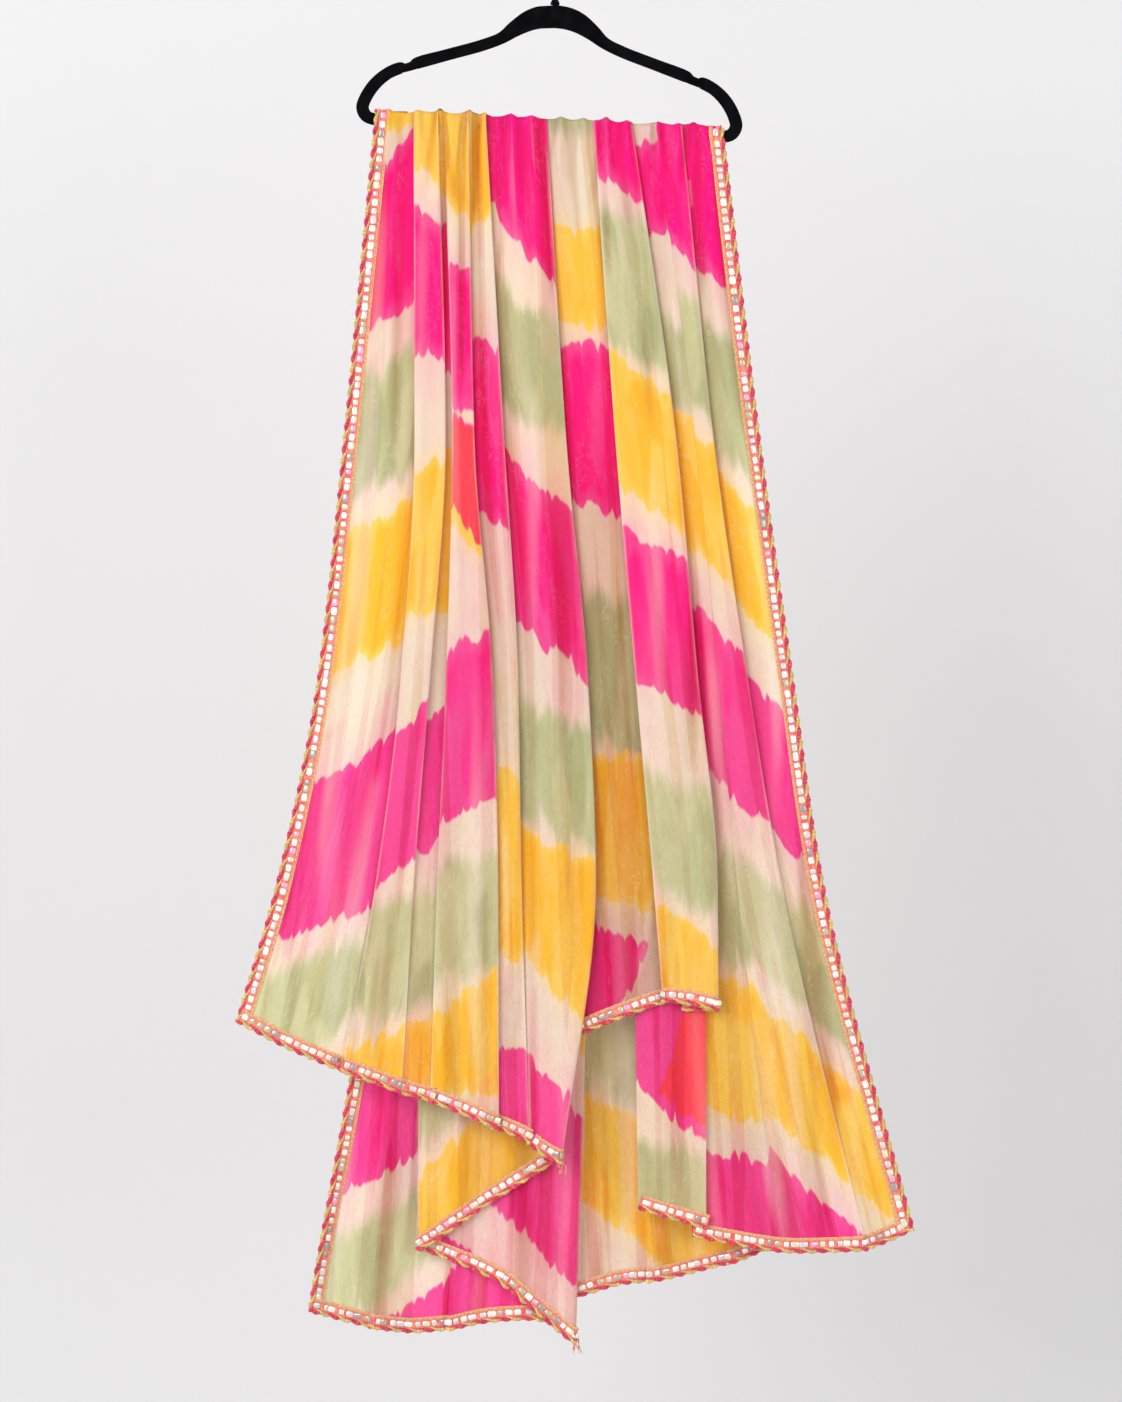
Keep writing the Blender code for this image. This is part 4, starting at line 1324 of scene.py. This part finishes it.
def make_stage():
    """A pale wall about a metre behind the cloth and a pale floor well below it."""
    n = Nodes("studio_wall")
    front = n.add("BsdfPrincipled", {
        "Base Color": WALL, "Roughness": 0.9, "Specular IOR Level": 0.1,
    })[0]
    clear = n.add("BsdfTransparent")[0]
    facing = n.add("NewGeometry")["Backfacing"]
    look = n.done(n.add("MixShader", {0: facing, 1: front, 2: clear})[0])
    left, right, wall, front_edge, floor, top = -5.5, 5.5, 1.1, -9.0, -2.1, 3.0
    for name, corners in (
        ("studio_wall", [(left, wall, floor), (right, wall, floor), (right, wall, top),
                         (left, wall, top)]),
        ("studio_floor", [(left, front_edge, floor), (right, front_edge, floor),
                          (right, wall, floor), (left, wall, floor)]),
    ):
        add_mesh(name, corners, [(0, 1, 2, 3)], look)


def area_light(name, place, power):
    """A large soft light that faces the middle of the cloth."""
    light = bpy.data.lights.new(name, "AREA")
    light.shape = "RECTANGLE"
    light.size = light.size_y = 4.4
    light.energy = power
    obj = add_object(name, light)
    obj.location = place
    aim = Vector((0.0, 0.0, -0.9)) - Vector(place)
    obj.rotation_euler = aim.to_track_quat("-Z", "Y").to_euler()


def make_lights():
    area_light("key", (-3.8, -5.2, 1.0), 270)
    area_light("fill", (4.2, -5.6, -1.2), 172)
    world = bpy.data.worlds.new("studio_air")
    world.use_nodes = True
    sky = world.node_tree.nodes.get("Background")
    if sky is None:
        sky = world.node_tree.nodes.new("ShaderNodeBackground")
        out = world.node_tree.nodes.new("ShaderNodeOutputWorld")
        world.node_tree.links.new(sky.outputs[0], out.inputs[0])
    sky.inputs[0].default_value = (*AIR, 1.0)
    sky.inputs[1].default_value = 0.76
    bpy.context.scene.world = world
    bpy.context.scene.view_settings.view_transform = "Standard"


def make_camera():
    """Level, far back, framed as 1.287 m across by 1.608 m high at the cloth."""
    camera = bpy.data.cameras.new("camera")
    distance, high, sensor = 6.0, 1.608, 24.0
    camera.sensor_fit = "VERTICAL"
    camera.sensor_height = camera.sensor_width = sensor
    camera.lens = sensor / 2 / (high / 2 / distance)
    camera.clip_end = 60
    obj = add_object("camera", camera)
    obj.location = (0.0039, -distance, -0.858)
    obj.rotation_euler = (math.radians(90), 0.0, 0.0)
    bpy.context.scene.camera = obj


def make_fall(stretch, folds, side, laced, edges, looks):
    """One stretch of the cloth with its dye, its tones and its lace."""
    grid, counts, relief = cloth_grid(folds, side)
    names = column_panels(stretch, folds, counts)
    across = across_places(grid, names)
    place = np.stack([across, -grid[:, :, 2], np.zeros_like(across)], axis=2)
    shaded, lit = edge_tones(grid, side, edges)
    shaded = np.maximum(shaded, panel_shade(grid, names))
    tones = {**dye_distances(grid, names), "shaded": shaded, "lit": lit, "relief": relief}
    attributes = [("place", "FLOAT_VECTOR", place)]
    attributes += [(title, "FLOAT", values) for title, values in tones.items()]
    cloth = mesh_object(
        "chiffon_" + stretch, grid, grid_faces(*grid.shape[:2], flip=side > 0),
        looks["chiffon"], attributes,
    )
    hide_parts("cloth_" + stretch)
    lace = make_lace(stretch, grid, laced, looks)


def main():
    looks = {
        "chiffon": chiffon(),
        "tape": tape_look(),
        "cords": thread_look("lace_cords", CORD_COLOURS, 60.0),
        "braid": thread_look("lace_braid", BRAID_COLOURS_AND_SHADES, 48.0),
        "mirrors": mirror_look(),
    }
    flock = flock_look()
    make_hanger(flock)
    make_collar(flock)
    make_hook(steel_look())
    edges = fold_edges()
    for stretch, folds, side, laced in STRETCHES:
        make_fall(stretch, folds, side, laced, edges, looks)
    make_stage()
    make_lights()
    make_camera()


main()
